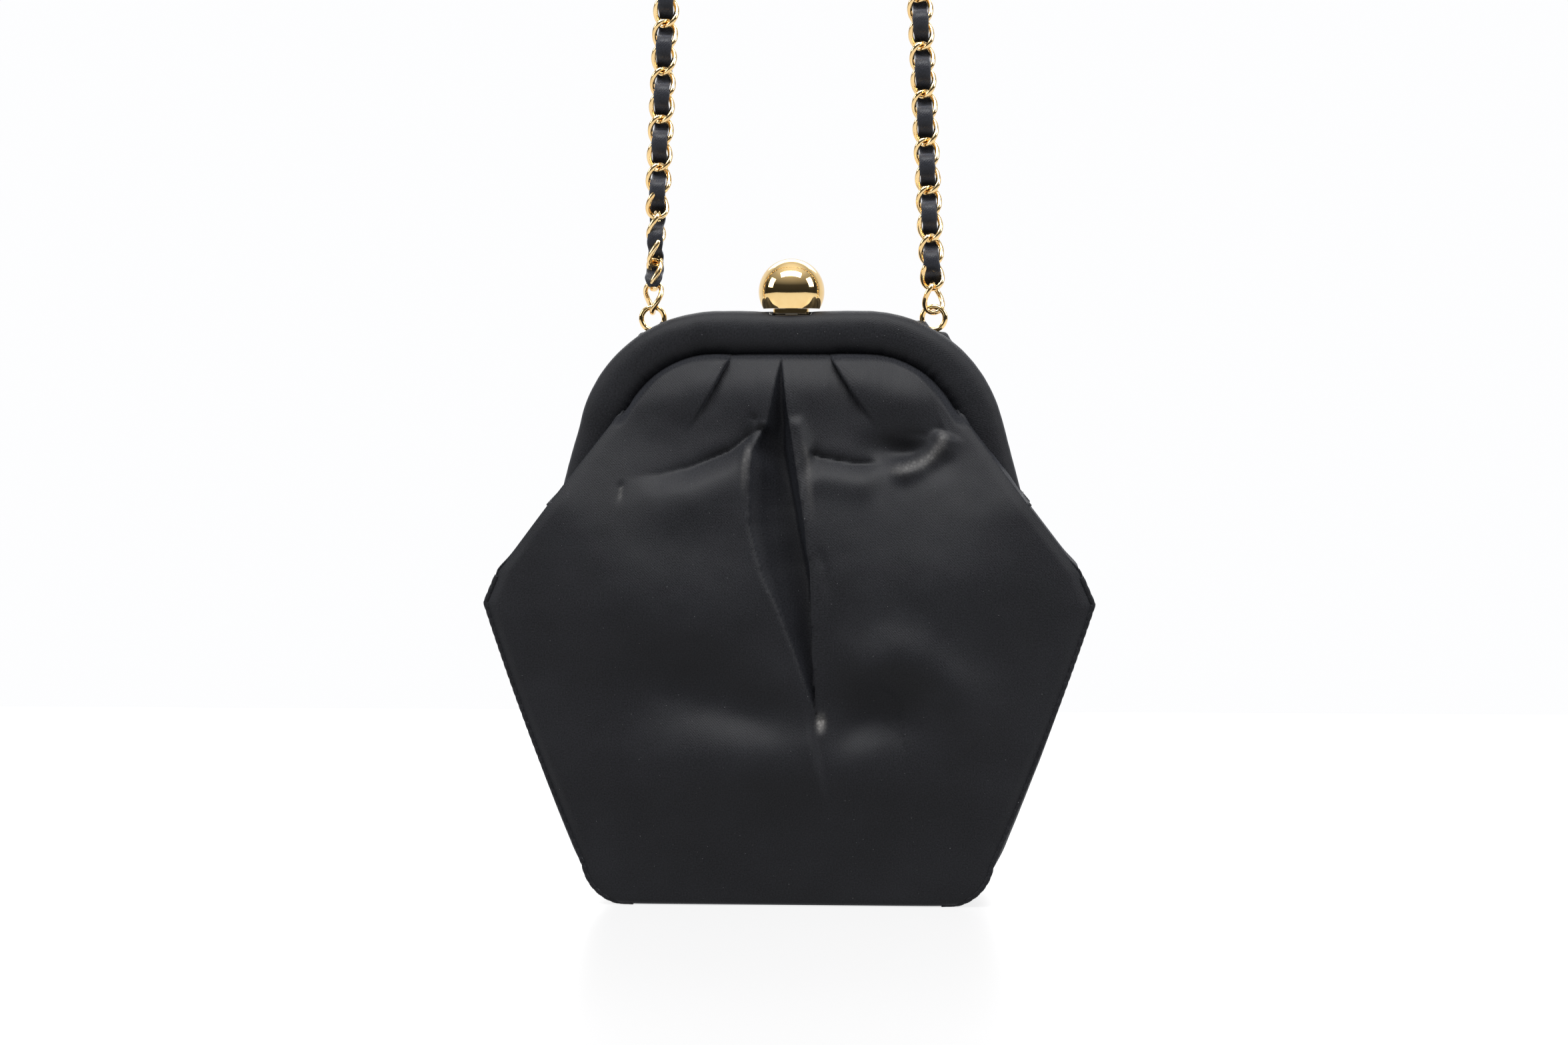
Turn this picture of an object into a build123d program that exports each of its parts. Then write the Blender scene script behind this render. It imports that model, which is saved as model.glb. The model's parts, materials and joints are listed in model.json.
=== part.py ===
"""Small evening clutch purse: a soft satin bag on a hinged, satin-covered frame.

Millimetres. +Z is up, the front faces -Y, and the origin is the middle of the base.
The back half of the frame carries the bag and the strap. The front half swings on
two rivets, a ball on a tilting lever latches the two halves at the top, and a chain
threaded with ribbon swings on two eyes.
"""

import os
from math import acos, cos, pi, radians, sin, sqrt, tan

from build123d import *

# --- Bag body, seen from the front (half widths and heights) ---
BASE_HALF = 44.0
CORNER_MID = (50.6, 3.4)
SIDE_FOOT = (54.0, 10.0)
SIDE_MID = (68.2, 44.5)
SIDE_TOP = (80.6, 79.0)
TIP = (76.7, 88.0)
DIAGONAL_KINK = (61.5, 108.0)
DIAGONAL_TOP = (31.1, 148.5)
# --- Bag body, seen from the side and from above (half depths) ---
BASE_DEPTH = 24.5
BELLY_DEPTH = 28.0
BELLY_Z = 50.0
NECK_DEPTH = 23.4
NECK_Z = 104.0
TOP_DEPTH = 8.6
TOP_Z = 144.6
ARM_MEET_Z = 137.8
ROLL_GAP = 0.3
CROWN_DEPTH = 28.2
EDGE_DEPTH = 19.6
EDGE_HALF = 82.0
# --- Layers of the wall, as depths below the outer face ---
SATIN = (0.0, 0.6)
INTERLINING = (0.7, 1.5)
LINING = (1.6, 2.0)
POCKET = (2.5, 2.9)
LIP_Z = 96.0
STIFF_TOP_Z = 70.0
FRONT_LINING_Z = 90.0
BACK_LINING_Z = 138.0
GUSSET_TOP_Z = 102.0
GUSSET_LINING_Z = 98.0
BASE_BOARD_GAP = 1.0
BASE_SEAM_HALF = 37.0
POCKET_HALF = 40.0
POCKET_Z = (18.0, 62.0)
PIPING_R = 0.9
# --- Frame: an arch with splayed legs ---
FRAME_TOP_Z = 157.0
FRAME_CORNER_HALF = 48.66
SHOULDER_R = 38.0
LEG_SPLAY = 15.0
FRAME_MID = 5.0
COVER_SIZE = (9.2, 12.0)
COVER_R = 4.4
COVER_SKIN = 0.4
PADDING_SIZE = (8.2, 11.0)
PADDING_R = 3.9
RAIL_SIZE = (5.6, 7.2)
RAIL_SHEET = 1.0
RAIL_FOOT_Z = 107.0
COVER_FOOT_Z = 108.1
FOOT_X = (52.7, 59.2)
FOOT_Z = (106.6, 107.9)
# --- Frame hinge ---
HINGE_Z = 103.0
LUG_R = 3.2
BACK_LUG_X = 55.0
WASHER_X = 56.1
WASHER_THICK = 0.4
FRONT_LUG_X = 56.6
RIVET_R = 1.2
RIVET_HEAD_R = 2.4
RIVET_HEAD = 0.8
RUNNING_GAP = 0.05
# --- Upper front panel, which swings with the front half of the frame ---
YOKE_R = 23.0
YOKE_TAIL = 18.0
YOKE_HALF = 62.0
# --- Clasp, and the room left for it and for the strap's eyes, as (low, high) ---
DEEP_POCKET_HALF = (5.6, 6.75)
DEEP_POCKET_Z = 146.5
WIDE_POCKET_HALF = 5.4
WIDE_POCKET_Y = (-7.6, 4.4)
WIDE_POCKET_Z = 155.6
EYE_POCKET_HALF = (4.4, 1.3)
BALL_R = 8.85
BALL_WALL = 0.8
BALL_FLOOR = 1.0
BALL_Y = -1.5
BALL_Z = 162.2
BALL_FLAT_Z = 157.6
SEAT_SIZE = (9.5, 9.8, 1.2)
SEAT_CORNER = 2.0
PIN_Y = -3.4
PIN_Z = 150.5
PIN_R = 0.8
LEVER_HALF = 1.6
LEVER_BARREL_R = 1.9
STEM_DEPTH = 3.0
STEM_IN_BALL = 2.5
ARM_Z = (150.9, 152.1)
NOSE_LENGTH = 1.2
NOSE_Y = 5.6
NOSE_Z = 149.7
KEEPER_LIP_Z = 149.4
KEEPER_HALF = 4.0
KEEPER_Y = (2.7, 6.7)
KEEPER_LIP = 1.2
KEEPER_SHEET = (0.8, 1.0)
KEEPER_TOP_Z = 153.0
BRACKET_Z = 147.0
BRACKET_Y = (-6.3, -5.7)
PLATE_TOP_Z = 154.6
CHEEK_Y = -1.2
CHEEK_TOP_Z = 153.6
CHEEK_X = 3.6
CHEEK_THICK = 1.0
PIN_GAP = 0.02
PIN_END = 0.3
SPRING_WIRE_R = 0.2
SPRING_R = 1.3
SPRING_TURNS = 3
SPRING_GAP = 0.35
# --- Strap: eyes, chain and ribbon ---
EYE_X = 38.0
EYE_Z = 155.2
EYE_R = 3.1
WIRE_R = 0.7
EYE_FOOT_Z = 150.0
LINK_HALF_WIDTH = 2.75
LINK_HALF_LENGTH = 3.9
LINK_PITCH = 6.45
LINK_COUNT = 79
RUN_LINKS = 30
LINK_TURN = 45.0
TURNED_LINKS = 5
STRAP_LEAN = 2.66
RIBBON_SIZE = (4.3, 0.6)
RIBBON_END = 8.0

BIG = 400.0


def slab(x=(-BIG, BIG), y=(-BIG, BIG), z=(-BIG, BIG)):
    """A box from its limits along each axis."""
    low, high = zip(x, y, z)
    size = [b - a for a, b in zip(low, high)]
    middle = [(a + b) / 2 for a, b in zip(low, high)]
    return Pos(*middle) * Box(*size)


def both_sides(part):
    """A part and its mirror image across the middle of the bag, as separate solids."""
    return Compound(children=[part, mirror(part, about=Plane.YZ)])


# ---------------------------------------------------------------- bag body
def front_outline():
    """Face of the bag seen from the front, drawn on the XY plane as (x, z)."""
    right = Line((0, 0), (BASE_HALF, 0))
    right += ThreePointArc((BASE_HALF, 0), CORNER_MID, SIDE_FOOT)
    right += ThreePointArc(SIDE_FOOT, SIDE_MID, SIDE_TOP)
    right += Polyline(SIDE_TOP, TIP, DIAGONAL_KINK, DIAGONAL_TOP, (0, DIAGONAL_TOP[1]))
    return make_face(right + mirror(right, about=Plane.YZ))


def side_profile():
    """Face of the bag seen from its side, drawn on the XY plane as (y, z)."""
    top = (TOP_DEPTH - 1.4, TOP_Z + 3.9)
    back = Line((0, 0), (BASE_DEPTH, 0))
    back += ThreePointArc((BASE_DEPTH, 0), (BELLY_DEPTH, BELLY_Z), (NECK_DEPTH, NECK_Z))
    back += Polyline((NECK_DEPTH, NECK_Z), top, (0, top[1]))
    return make_face(back + mirror(back, about=Plane.YZ))


def plan_crown():
    """Face of the bag seen from above: both panels are crowned across their width."""
    back = ThreePointArc((-EDGE_HALF, EDGE_DEPTH), (0, CROWN_DEPTH), (EDGE_HALF, EDGE_DEPTH))
    back += Line((EDGE_HALF, EDGE_DEPTH), (EDGE_HALF, 0))
    back += Line((-EDGE_HALF, EDGE_DEPTH), (-EDGE_HALF, 0))
    return make_face(back + mirror(back, about=Plane.XZ))


def inset(face, depth):
    """The face with its outline moved in by a depth."""
    return offset(face, amount=-depth, kind=Kind.ARC) if depth else face


def outline_prism(depth):
    """Everything inside the front outline, moved in by a depth."""
    return extrude(Plane.XZ * inset(front_outline(), depth), amount=BIG / 2, both=True)


def bag_solid(depth):
    """The whole bag as one solid whose faces lie a depth below the outer ones."""
    sides = extrude(Plane.YZ * inset(side_profile(), depth), amount=BIG / 2, both=True)
    crown = extrude(inset(plan_crown(), depth), amount=BIG / 2, both=True)
    return outline_prism(depth) & sides & crown


def panel(layer, facing, top_z):
    """One face of the bag in one layer. facing is -1 for the front, 1 for the back."""
    outer, inner = layer
    wall = bag_solid(outer) - bag_solid(inner)
    wall = wall & outline_prism(inner)
    half = slab(y=(0, BIG) if facing > 0 else (-BIG, 0), z=(-BIG, top_z))
    return solid_of(wall & half & under_frame())


def under_frame():
    """Room below the frame's roll; lower down, panels pass outside the frame's legs."""
    path = arch(COVER_SIZE[1] + ROLL_GAP, HINGE_Z)
    face = make_face(path + Line(path @ 1, path @ 0))
    return extrude(face, amount=BIG / 2, both=True) + slab(z=(-BIG, ARM_MEET_Z))


def band(layer, x, top_z):
    """Side and bottom walls of one layer, between two x limits and below a height."""
    outer, inner = layer
    wall = bag_solid(outer) - outline_prism(inner)
    return wall & slab(x=x, z=(-BIG, top_z))


def side_band(layer, top_z):
    """Right-hand side wall of one layer, from the base seam up."""
    return band(layer, (BASE_SEAM_HALF, BIG), top_z)


def base_wall(layer, gap):
    """Bottom wall of one layer, between the two base seams."""
    half = BASE_SEAM_HALF - gap
    return band(layer, (-half, half), BELLY_Z)


def edge_piping(facing):
    """Corded seam up the two straight side edges of one face of the bag."""
    points = []
    for x, z in (SIDE_FOOT, SIDE_MID, SIDE_TOP):
        sag = (CROWN_DEPTH - EDGE_DEPTH) * (x / EDGE_HALF) ** 2
        points.append((x + 0.3, facing * (CROWN_DEPTH - sag + 0.3), z))
    path = ThreePointArc(*points)
    tube = sweep(Plane(path @ 0, z_dir=path % 0) * Circle(PIPING_R), path=path)
    return both_sides(solid_of(tube - bag_solid(-RUNNING_GAP)))


def solid_of(shape):
    """The largest solid of a shape."""
    return max(shape.solids(), key=lambda piece: piece.volume)


def slip_pocket():
    """Flat pocket sewn on the back lining."""
    limits = slab(x=(-POCKET_HALF, POCKET_HALF), z=(POCKET_Z[0], BIG))
    return panel(POCKET, 1, POCKET_Z[1]) & limits


# ---------------------------------------------------------------- frame
def arch(depth, foot_z):
    """Path of the frame at a depth inside its outer edge, in the XZ plane."""
    slope = tan(radians(LEG_SPLAY))
    shift = depth / cos(radians(LEG_SPLAY))
    corner = FRAME_CORNER_HALF + depth * slope - shift
    foot = FRAME_CORNER_HALF + (FRAME_TOP_Z - foot_z) * slope - shift
    top = FRAME_TOP_Z - depth
    points = [(-foot, 0, foot_z), (-corner, 0, top), (corner, 0, top), (foot, 0, foot_z)]
    return FilletPolyline(*points, radius=SHOULDER_R - depth)


def sweep_arch(section, foot_z, y):
    """Sweep a section, whose +Y points out of the arch, along one frame half."""
    path = arch(COVER_SIZE[1] / 2, foot_z - COVER_SIZE[1])
    start = Plane(path @ 0, x_dir=(0, 1, 0), z_dir=path % 0)
    return Pos(0, y, 0) * (sweep(start * section, path=path) & slab(z=(foot_z, BIG)))


def clasp_pockets():
    """Room that the satin, padding and rails leave for the clasp."""
    x, y = DEEP_POCKET_HALF
    deep = slab(x=(-x, x), y=(-y, y), z=(DEEP_POCKET_Z, BIG))
    wide = slab(x=(-WIDE_POCKET_HALF, WIDE_POCKET_HALF), y=WIDE_POCKET_Y, z=(WIDE_POCKET_Z, BIG))
    return deep + wide


def eye_pockets():
    """Room in the back half's satin and padding for the feet of the strap's eyes."""
    half_x, half_y = EYE_POCKET_HALF
    x = (EYE_X - half_x, EYE_X + half_x)
    y = (FRAME_MID - half_y, FRAME_MID + half_y)
    pocket = slab(x=x, y=y, z=(EYE_FOOT_Z - 0.1, BIG))
    return pocket + mirror(pocket, about=Plane.YZ)


def rounded(size, radius):
    """A rectangle with rounded corners."""
    return RectangleRounded(*size, radius)


def frame_cover(facing):
    """Satin sleeve around one frame half."""
    skin = 2 * COVER_SKIN
    hole = rounded((COVER_SIZE[0] - skin, COVER_SIZE[1] - skin), COVER_R - COVER_SKIN)
    cover = sweep_arch(rounded(COVER_SIZE, COVER_R) - hole, COVER_FOOT_Z, facing * FRAME_MID)
    return cut_for_fittings(cover, facing)


def frame_padding(facing):
    """Foam sleeve between one rail and its satin."""
    hole = Rectangle(RAIL_SIZE[0] + 0.2, RAIL_SIZE[1] + 0.2)
    section = rounded(PADDING_SIZE, PADDING_R) - hole
    padding = sweep_arch(section, COVER_FOOT_Z, facing * FRAME_MID)
    return cut_for_fittings(padding, facing)


def cut_for_fittings(sleeve, facing):
    """Open a sleeve for the clasp and, on the back half, for the eyes."""
    sleeve = sleeve - clasp_pockets()
    return sleeve - eye_pockets() if facing > 0 else sleeve


def frame_rail(facing, lug_x):
    """Pressed steel channel, open inwards, with a flat hinge lug under each leg."""
    width, height = RAIL_SIZE
    groove = Pos(0, -RAIL_SHEET) * Rectangle(width - 2 * RAIL_SHEET, height)
    y = facing * FRAME_MID
    rail = sweep_arch(Rectangle(width, height) - groove, RAIL_FOOT_Z, y)
    lug = hinge_lug(facing, lug_x)
    foot = slab(x=FOOT_X, y=(y - width / 2, y + width / 2), z=FOOT_Z)
    legs = lug + foot
    rail = rail - clasp_pockets() + legs + mirror(legs, about=Plane.YZ)
    return solid_of(rail)


def hinge_lug(facing, lug_x):
    """Flat ear from one leg's foot to the rivet, with the rivet's hole."""
    eye = Pos(0, HINGE_Z) * Circle(LUG_R)
    root = Pos(facing * FRAME_MID, 107.3) * Rectangle(RAIL_SIZE[0], RAIL_SHEET)
    ear = make_hull(eye.edges() + root.edges())
    ear -= Pos(0, HINGE_Z) * Circle(RIVET_R + RUNNING_GAP)
    return Pos(lug_x, 0, 0) * extrude(Plane.YZ * ear, amount=RAIL_SHEET)


def rod_x(radius, start, end, y, z):
    """A round bar along X."""
    bar = Plane((start, y, z), z_dir=(1, 0, 0)) * Circle(radius)
    return extrude(bar, amount=end - start)


def hinge_rivets():
    """Two rivets, whose axis is the frame's hinge."""
    inner = BACK_LUG_X - RUNNING_GAP
    outer = FRONT_LUG_X + RAIL_SHEET + 2 * RUNNING_GAP
    rivet = rod_x(RIVET_R, inner, outer, 0, HINGE_Z)
    rivet += rod_x(RIVET_HEAD_R, inner - RIVET_HEAD, inner, 0, HINGE_Z)
    rivet += rod_x(RIVET_HEAD_R, outer, outer + RIVET_HEAD, 0, HINGE_Z)
    return both_sides(rivet)


def hinge_washers():
    """Thin washers between the lugs of the two halves."""
    washer = rod_x(LUG_R - 0.4, WASHER_X, WASHER_X + WASHER_THICK, 0, HINGE_Z)
    washer -= rod_x(RIVET_R + RUNNING_GAP, WASHER_X, WASHER_X + WASHER_THICK, 0, HINGE_Z)
    return both_sides(washer)


# ---------------------------------------------------------------- upper front panel
def yoke(outer, inner, top_z):
    """Upper front panel between two depths: straight down from the frame, then a
    tail on a cylinder about the hinge, so that it slides inside the lower panel."""
    bands = [yoke_section(depth) for depth in (outer, inner)]
    wall = extrude(Plane.YZ * (bands[0] - bands[1]), amount=BIG / 2, both=True)
    limits = slab(x=(-YOKE_HALF, YOKE_HALF), y=(-BIG, -1), z=(-BIG, top_z))
    tail = HINGE_Z - YOKE_R * sin(radians(YOKE_TAIL))
    wall = wall & outline_above(inner) & limits & under_frame()
    return solid_of(wall & slab(z=(tail, BIG)))


def outline_above(depth):
    """The front outline, widened straight down below the kink of its diagonal."""
    below = slab(x=(-YOKE_HALF + depth, YOKE_HALF - depth), z=(0, DIAGONAL_KINK[1]))
    above = outline_prism(depth) & slab(z=(DIAGONAL_KINK[1], BIG))
    return below + above


def yoke_section(depth):
    """Half plane behind the upper front panel's face, drawn as (y, z)."""
    radius = YOKE_R - depth
    start = (-TOP_DEPTH + depth, TOP_Z)
    reach = sqrt(start[0] ** 2 + (TOP_Z - HINGE_Z) ** 2)
    lead = Vector(0, 1).get_angle(Vector(start[0], TOP_Z - HINGE_Z))
    turn = radians(lead) + acos(radius / reach)
    tangent = (-radius * sin(turn), HINGE_Z + radius * cos(turn))
    low = (-radius * sin(turn + 1.2), HINGE_Z + radius * cos(turn + 1.2))
    mid = (-radius * sin(turn + 0.6), HINGE_Z + radius * cos(turn + 0.6))
    edge = Line(start, tangent) + ThreePointArc(tangent, mid, low)
    edge += Polyline(low, (0, low[1]), (0, TOP_Z), start)
    return make_face(edge)


# ---------------------------------------------------------------- clasp
def clasp_ball():
    """Hollow ball with a flat floor that has a slot for the lever's stem."""
    above = slab(z=(BALL_FLAT_Z, BIG))
    ball = Pos(0, BALL_Y, BALL_Z) * Sphere(BALL_R) & above
    hollow = Pos(0, BALL_Y, BALL_Z) * Sphere(BALL_R - BALL_WALL)
    hollow = hollow & slab(z=(BALL_FLAT_Z + BALL_FLOOR, BIG))
    return ball - hollow - stem(RUNNING_GAP)


def stem(gap=0.0):
    """Upright part of the lever, which carries the seat and the ball."""
    x = LEVER_HALF + gap
    y = STEM_DEPTH / 2 + gap
    top = BALL_FLAT_Z + STEM_IN_BALL + gap
    return slab(x=(-x, x), y=(BALL_Y - y, BALL_Y + y), z=(PIN_Z, top))


def clasp_seat():
    """Small plate between the ball and the satin."""
    width, depth, thick = SEAT_SIZE
    plate = extrude(RectangleRounded(width, depth, SEAT_CORNER), amount=-thick)
    return Pos(0, BALL_Y, BALL_FLAT_Z - RUNNING_GAP) * plate - stem(RUNNING_GAP)


def clasp_lever():
    """Rocking lever: stem, pivot barrel, and an arm with a nose over the keeper."""
    barrel = rod_x(LEVER_BARREL_R, -LEVER_HALF, LEVER_HALF, PIN_Y, PIN_Z)
    half = (-LEVER_HALF, LEVER_HALF)
    arm = slab(x=half, y=(PIN_Y, NOSE_Y), z=ARM_Z)
    nose = slab(x=half, y=(NOSE_Y - NOSE_LENGTH, NOSE_Y), z=(NOSE_Z, ARM_Z[1]))
    lever = barrel + arm + nose + stem()
    return lever - rod_x(PIN_R + RUNNING_GAP, -LEVER_HALF, LEVER_HALF, PIN_Y, PIN_Z)


def clasp_housing():
    """Bracket on the front rail: a plate with two cheeks that hold the pin."""
    outer = CHEEK_X + CHEEK_THICK
    plate = slab(x=(-outer, outer), y=BRACKET_Y, z=(BRACKET_Z, PLATE_TOP_Z))
    cheek = slab(x=(CHEEK_X, outer), y=(BRACKET_Y[0], CHEEK_Y), z=(BRACKET_Z, CHEEK_TOP_Z))
    bracket = plate + cheek + mirror(cheek, about=Plane.YZ)
    return bracket - rod_x(PIN_R + PIN_GAP, -outer, outer, PIN_Y, PIN_Z)


def clasp_pin():
    """Pivot pin of the lever."""
    end = CHEEK_X + CHEEK_THICK + PIN_END
    return rod_x(PIN_R, -end, end, PIN_Y, PIN_Z)


def clasp_spring():
    """Torsion spring on the pin, beside the lever."""
    pitch = 2 * SPRING_WIRE_R + 0.06
    path = Helix(pitch=pitch, height=pitch * SPRING_TURNS, radius=SPRING_R)
    section = Plane(path @ 0, z_dir=path % 0) * Circle(SPRING_WIRE_R)
    wire = sweep(section, path=path, is_frenet=True)
    return Pos(LEVER_HALF + SPRING_GAP, PIN_Y, PIN_Z) * Rot(0, 90, 0) * wire


def clasp_keeper():
    """Catch plate on the back rail, with the lip that the nose drops behind."""
    half = (-KEEPER_HALF, KEEPER_HALF)
    front, back = KEEPER_Y
    plate_sheet, shelf_sheet = KEEPER_SHEET
    plate = slab(x=half, y=(back - plate_sheet, back), z=(BRACKET_Z, KEEPER_TOP_Z))
    shelf = slab(x=half, y=KEEPER_Y, z=(BRACKET_Z, BRACKET_Z + shelf_sheet))
    lip = slab(x=half, y=(front, front + KEEPER_LIP), z=(BRACKET_Z, KEEPER_LIP_Z))
    return plate + shelf + lip


# ---------------------------------------------------------------- strap
def chain_eye():
    """Round eye with a foot that stands in the back half of the frame."""
    ring = Plane((EYE_X, FRAME_MID, EYE_Z), z_dir=(0, 1, 0)) * Torus(EYE_R, WIRE_R)
    foot = extrude(Circle(WIRE_R + 0.1), amount=EYE_Z - EYE_R - EYE_FOOT_Z)
    return ring + Pos(EYE_X, FRAME_MID, EYE_FOOT_Z) * foot


def strap_sizes():
    """Length of each straight run of the strap, and the radius of its loop."""
    lean = radians(STRAP_LEAN)
    end_gap = 2 * (LINK_HALF_LENGTH - 2 * WIRE_R - RUNNING_GAP)
    length = end_gap + (LINK_COUNT - 1) * LINK_PITCH
    sweep_angle = pi - 2 * lean
    run = (length - EYE_X * sweep_angle / cos(lean)) / (2 - tan(lean) * sweep_angle)
    return run, (EYE_X - run * sin(lean)) / cos(lean)


def strap_line():
    """Centre line of the strap between its two pivots: two runs that lean in, and
    the arc that joins them at the top."""
    lean = radians(STRAP_LEAN)
    run, radius = strap_sizes()
    pivot_z = EYE_Z + EYE_R
    high = pivot_z + run * cos(lean)
    top = high - radius * sin(lean) + radius
    left = (-radius * cos(lean), FRAME_MID, high)
    right = (radius * cos(lean), FRAME_MID, high)
    path = Line((-EYE_X, FRAME_MID, pivot_z), left)
    path += ThreePointArc(left, (0, FRAME_MID, top), right)
    path += Line(right, (EYE_X, FRAME_MID, pivot_z))
    return Wire(path.edges())


def chain_link():
    """One oval link of round wire, standing along Z in the XZ plane."""
    oval = SlotOverall(2 * LINK_HALF_LENGTH, 2 * LINK_HALF_WIDTH, rotation=90)
    path = Plane.XZ * oval.wire()
    return sweep(Plane(path @ 0, z_dir=path % 0) * Circle(WIRE_R), path=path)


def link_turn(index):
    """Turn of a link about the strap: each crosses the next, and the first and last
    few swing round so that the end ones hang square in their eyes."""
    from_end = min(index, LINK_COUNT - 1 - index)
    swing = LINK_TURN * max(0.0, 1 - from_end / TURNED_LINKS)
    return LINK_TURN + 90.0 * (index % 2) + swing


def chain_links(first, last):
    """Links of the strap, from one index up to but not including another."""
    line = strap_line()
    base = chain_link()
    start = LINK_HALF_LENGTH - 2 * WIRE_R - RUNNING_GAP
    links = []
    for index in range(first, last):
        share = (start + index * LINK_PITCH) / line.length
        along = line % share
        place = Plane(line @ share, x_dir=along.cross(Vector(0, 1, 0)), z_dir=along)
        links.append(place.location * Rot(0, 0, link_turn(index)) * base)
    return Compound(children=links)


def chain_ribbon():
    """Ribbon along the middle of the chain, drawn flat and straight."""
    line = strap_line()
    share = RIBBON_END / line.length
    path = line.trim(share, 1 - share)
    start = Plane(path @ 0, x_dir=(path % 0).cross(Vector(0, 1, 0)), z_dir=path % 0)
    return sweep(start * Rectangle(*RIBBON_SIZE), path=path)


def make_nodes():
    """Every sub-part by name."""
    nodes = {
        "front_panel": panel(SATIN, -1, LIP_Z),
        "back_panel": panel(SATIN, 1, TOP_Z),
        "base_panel": base_wall(SATIN, 0.0),
        "base_board": base_wall(INTERLINING, BASE_BOARD_GAP),
        "base_lining": base_wall(LINING, 0.0),
        "front_interlining": panel(INTERLINING, -1, STIFF_TOP_Z),
        "back_interlining": panel(INTERLINING, 1, STIFF_TOP_Z),
        "front_lining": panel(LINING, -1, FRONT_LINING_Z),
        "back_lining": panel(LINING, 1, BACK_LINING_Z),
        "slip_pocket": slip_pocket(),
        "front_piping": edge_piping(-1),
        "back_piping": edge_piping(1),
        "front_yoke": yoke(0.0, SATIN[1], TOP_Z),
        "front_yoke_lining": yoke(LINING[0], LINING[1], BACK_LINING_Z),
        "back_frame_rail": frame_rail(1, BACK_LUG_X),
        "front_frame_rail": frame_rail(-1, FRONT_LUG_X),
        "hinge_rivets": hinge_rivets(),
        "hinge_washers": hinge_washers(),
        "clasp_ball": clasp_ball(),
        "clasp_seat": clasp_seat(),
        "clasp_lever": clasp_lever(),
        "clasp_housing": clasp_housing(),
        "clasp_pin": clasp_pin(),
        "clasp_spring": clasp_spring(),
        "clasp_keeper": clasp_keeper(),
        "chain_left": chain_links(0, RUN_LINKS),
        "chain_top": chain_links(RUN_LINKS, LINK_COUNT - RUN_LINKS),
        "chain_right": chain_links(LINK_COUNT - RUN_LINKS, LINK_COUNT),
        "chain_ribbon": chain_ribbon(),
    }
    for facing, side in ((1, "back"), (-1, "front")):
        nodes[side + "_frame_padding"] = frame_padding(facing)
        nodes[side + "_frame_cover"] = frame_cover(facing)
    pairs = {
        "gusset": side_band(SATIN, GUSSET_TOP_Z),
        "gusset_lining": side_band(LINING, GUSSET_LINING_Z),
        "chain_eye": chain_eye(),
    }
    for name, part in pairs.items():
        nodes["right_" + name] = part
        nodes["left_" + name] = mirror(part, about=Plane.YZ)
    return nodes


def main():
    os.makedirs("parts", exist_ok=True)
    for name, shape in make_nodes().items():
        solids = shape.solids()
        whole = solids[0] if len(solids) == 1 else Compound(children=list(solids))
        whole.label = name
        export_step(whole, f"parts/{name}.step")
    run, radius = strap_sizes()
    print(f"strap: two straight runs of {run:.2f} mm and one bend of radius {radius:.2f} mm")


main()
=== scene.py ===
import json
import math

import bpy
import numpy as np
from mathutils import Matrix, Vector, noise


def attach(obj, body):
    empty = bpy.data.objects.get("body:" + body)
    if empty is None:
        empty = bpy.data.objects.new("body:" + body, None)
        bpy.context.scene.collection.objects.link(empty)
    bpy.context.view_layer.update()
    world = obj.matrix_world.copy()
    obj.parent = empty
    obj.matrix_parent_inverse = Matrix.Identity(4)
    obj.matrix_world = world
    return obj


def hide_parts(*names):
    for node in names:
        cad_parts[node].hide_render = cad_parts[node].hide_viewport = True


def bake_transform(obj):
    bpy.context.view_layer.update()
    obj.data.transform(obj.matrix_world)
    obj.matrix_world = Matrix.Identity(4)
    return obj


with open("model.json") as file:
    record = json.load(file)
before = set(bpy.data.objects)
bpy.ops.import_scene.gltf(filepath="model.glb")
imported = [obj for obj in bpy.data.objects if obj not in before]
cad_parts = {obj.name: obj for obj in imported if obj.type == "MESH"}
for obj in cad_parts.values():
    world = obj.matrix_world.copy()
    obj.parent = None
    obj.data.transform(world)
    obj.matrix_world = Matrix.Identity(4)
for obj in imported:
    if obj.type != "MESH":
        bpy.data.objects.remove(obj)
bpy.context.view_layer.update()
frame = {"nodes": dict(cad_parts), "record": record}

MM = 0.001

# ------------------------------------------------------------------ sizes, in millimetres
CORNER = ((44.0, 0.0), (50.6, 3.4), (54.0, 10.0))
SIDE = ((54.0, 10.0), (68.2, 44.5), (80.6, 79.0))
DIAGONAL = ((80.6, 79.0), (76.7, 88.0), (61.5, 108.0), (31.1, 148.5))
BASE_SEAM_X = 37.0
BODY_PROFILE = ((24.5, 0.0), (28.0, 50.0), (23.4, 104.0))
BODY_TOP = (8.6, 144.6)
CROWN = ((-82.0, 19.6), (0.0, 28.2), (82.0, 19.6))
SHOULDER = (19.5, 119.0)
FRAME_TOP = 157.0
FRAME_R = 38.0
LEG_SPLAY = math.radians(15.0)
ROLL_MID_Y = 5.0
ROLL_HALF = (4.6, 6.0)
ROLL_FOOT = 108.1
TUCK = 1.6
ARM_MEET = 137.0
STIFF_TOP = 70.0
LINING_TOP = 139.0
GUSSET_TOP = 108.4
GUSSET_LINING_TOP = 99.0
SEAM_TOP = 87.0
EDGE_FOLD = (105.5, 136.8)
POCKET_HALF = 40.0
POCKET_Z = (18.0, 62.0)
SATIN_THICK = 0.5
LINING_THICK = 0.3
ROLL_POWER = 2 / 2.35
CLASP_HALF = (5.25, 5.8)
CLASP_DEPTH = 6.8
CLASP_FLOOR = 146.3
SEAT_Z = 156.05
EYE_X = 38.0


# ------------------------------------------------------------------ small helpers
def ease(low, high, x):
    """0 below low, 1 above high, and a smooth turn between."""
    t = np.clip((x - low) / (high - low), 0.0, 1.0)
    return t * t * (3 - 2 * t)


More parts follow.
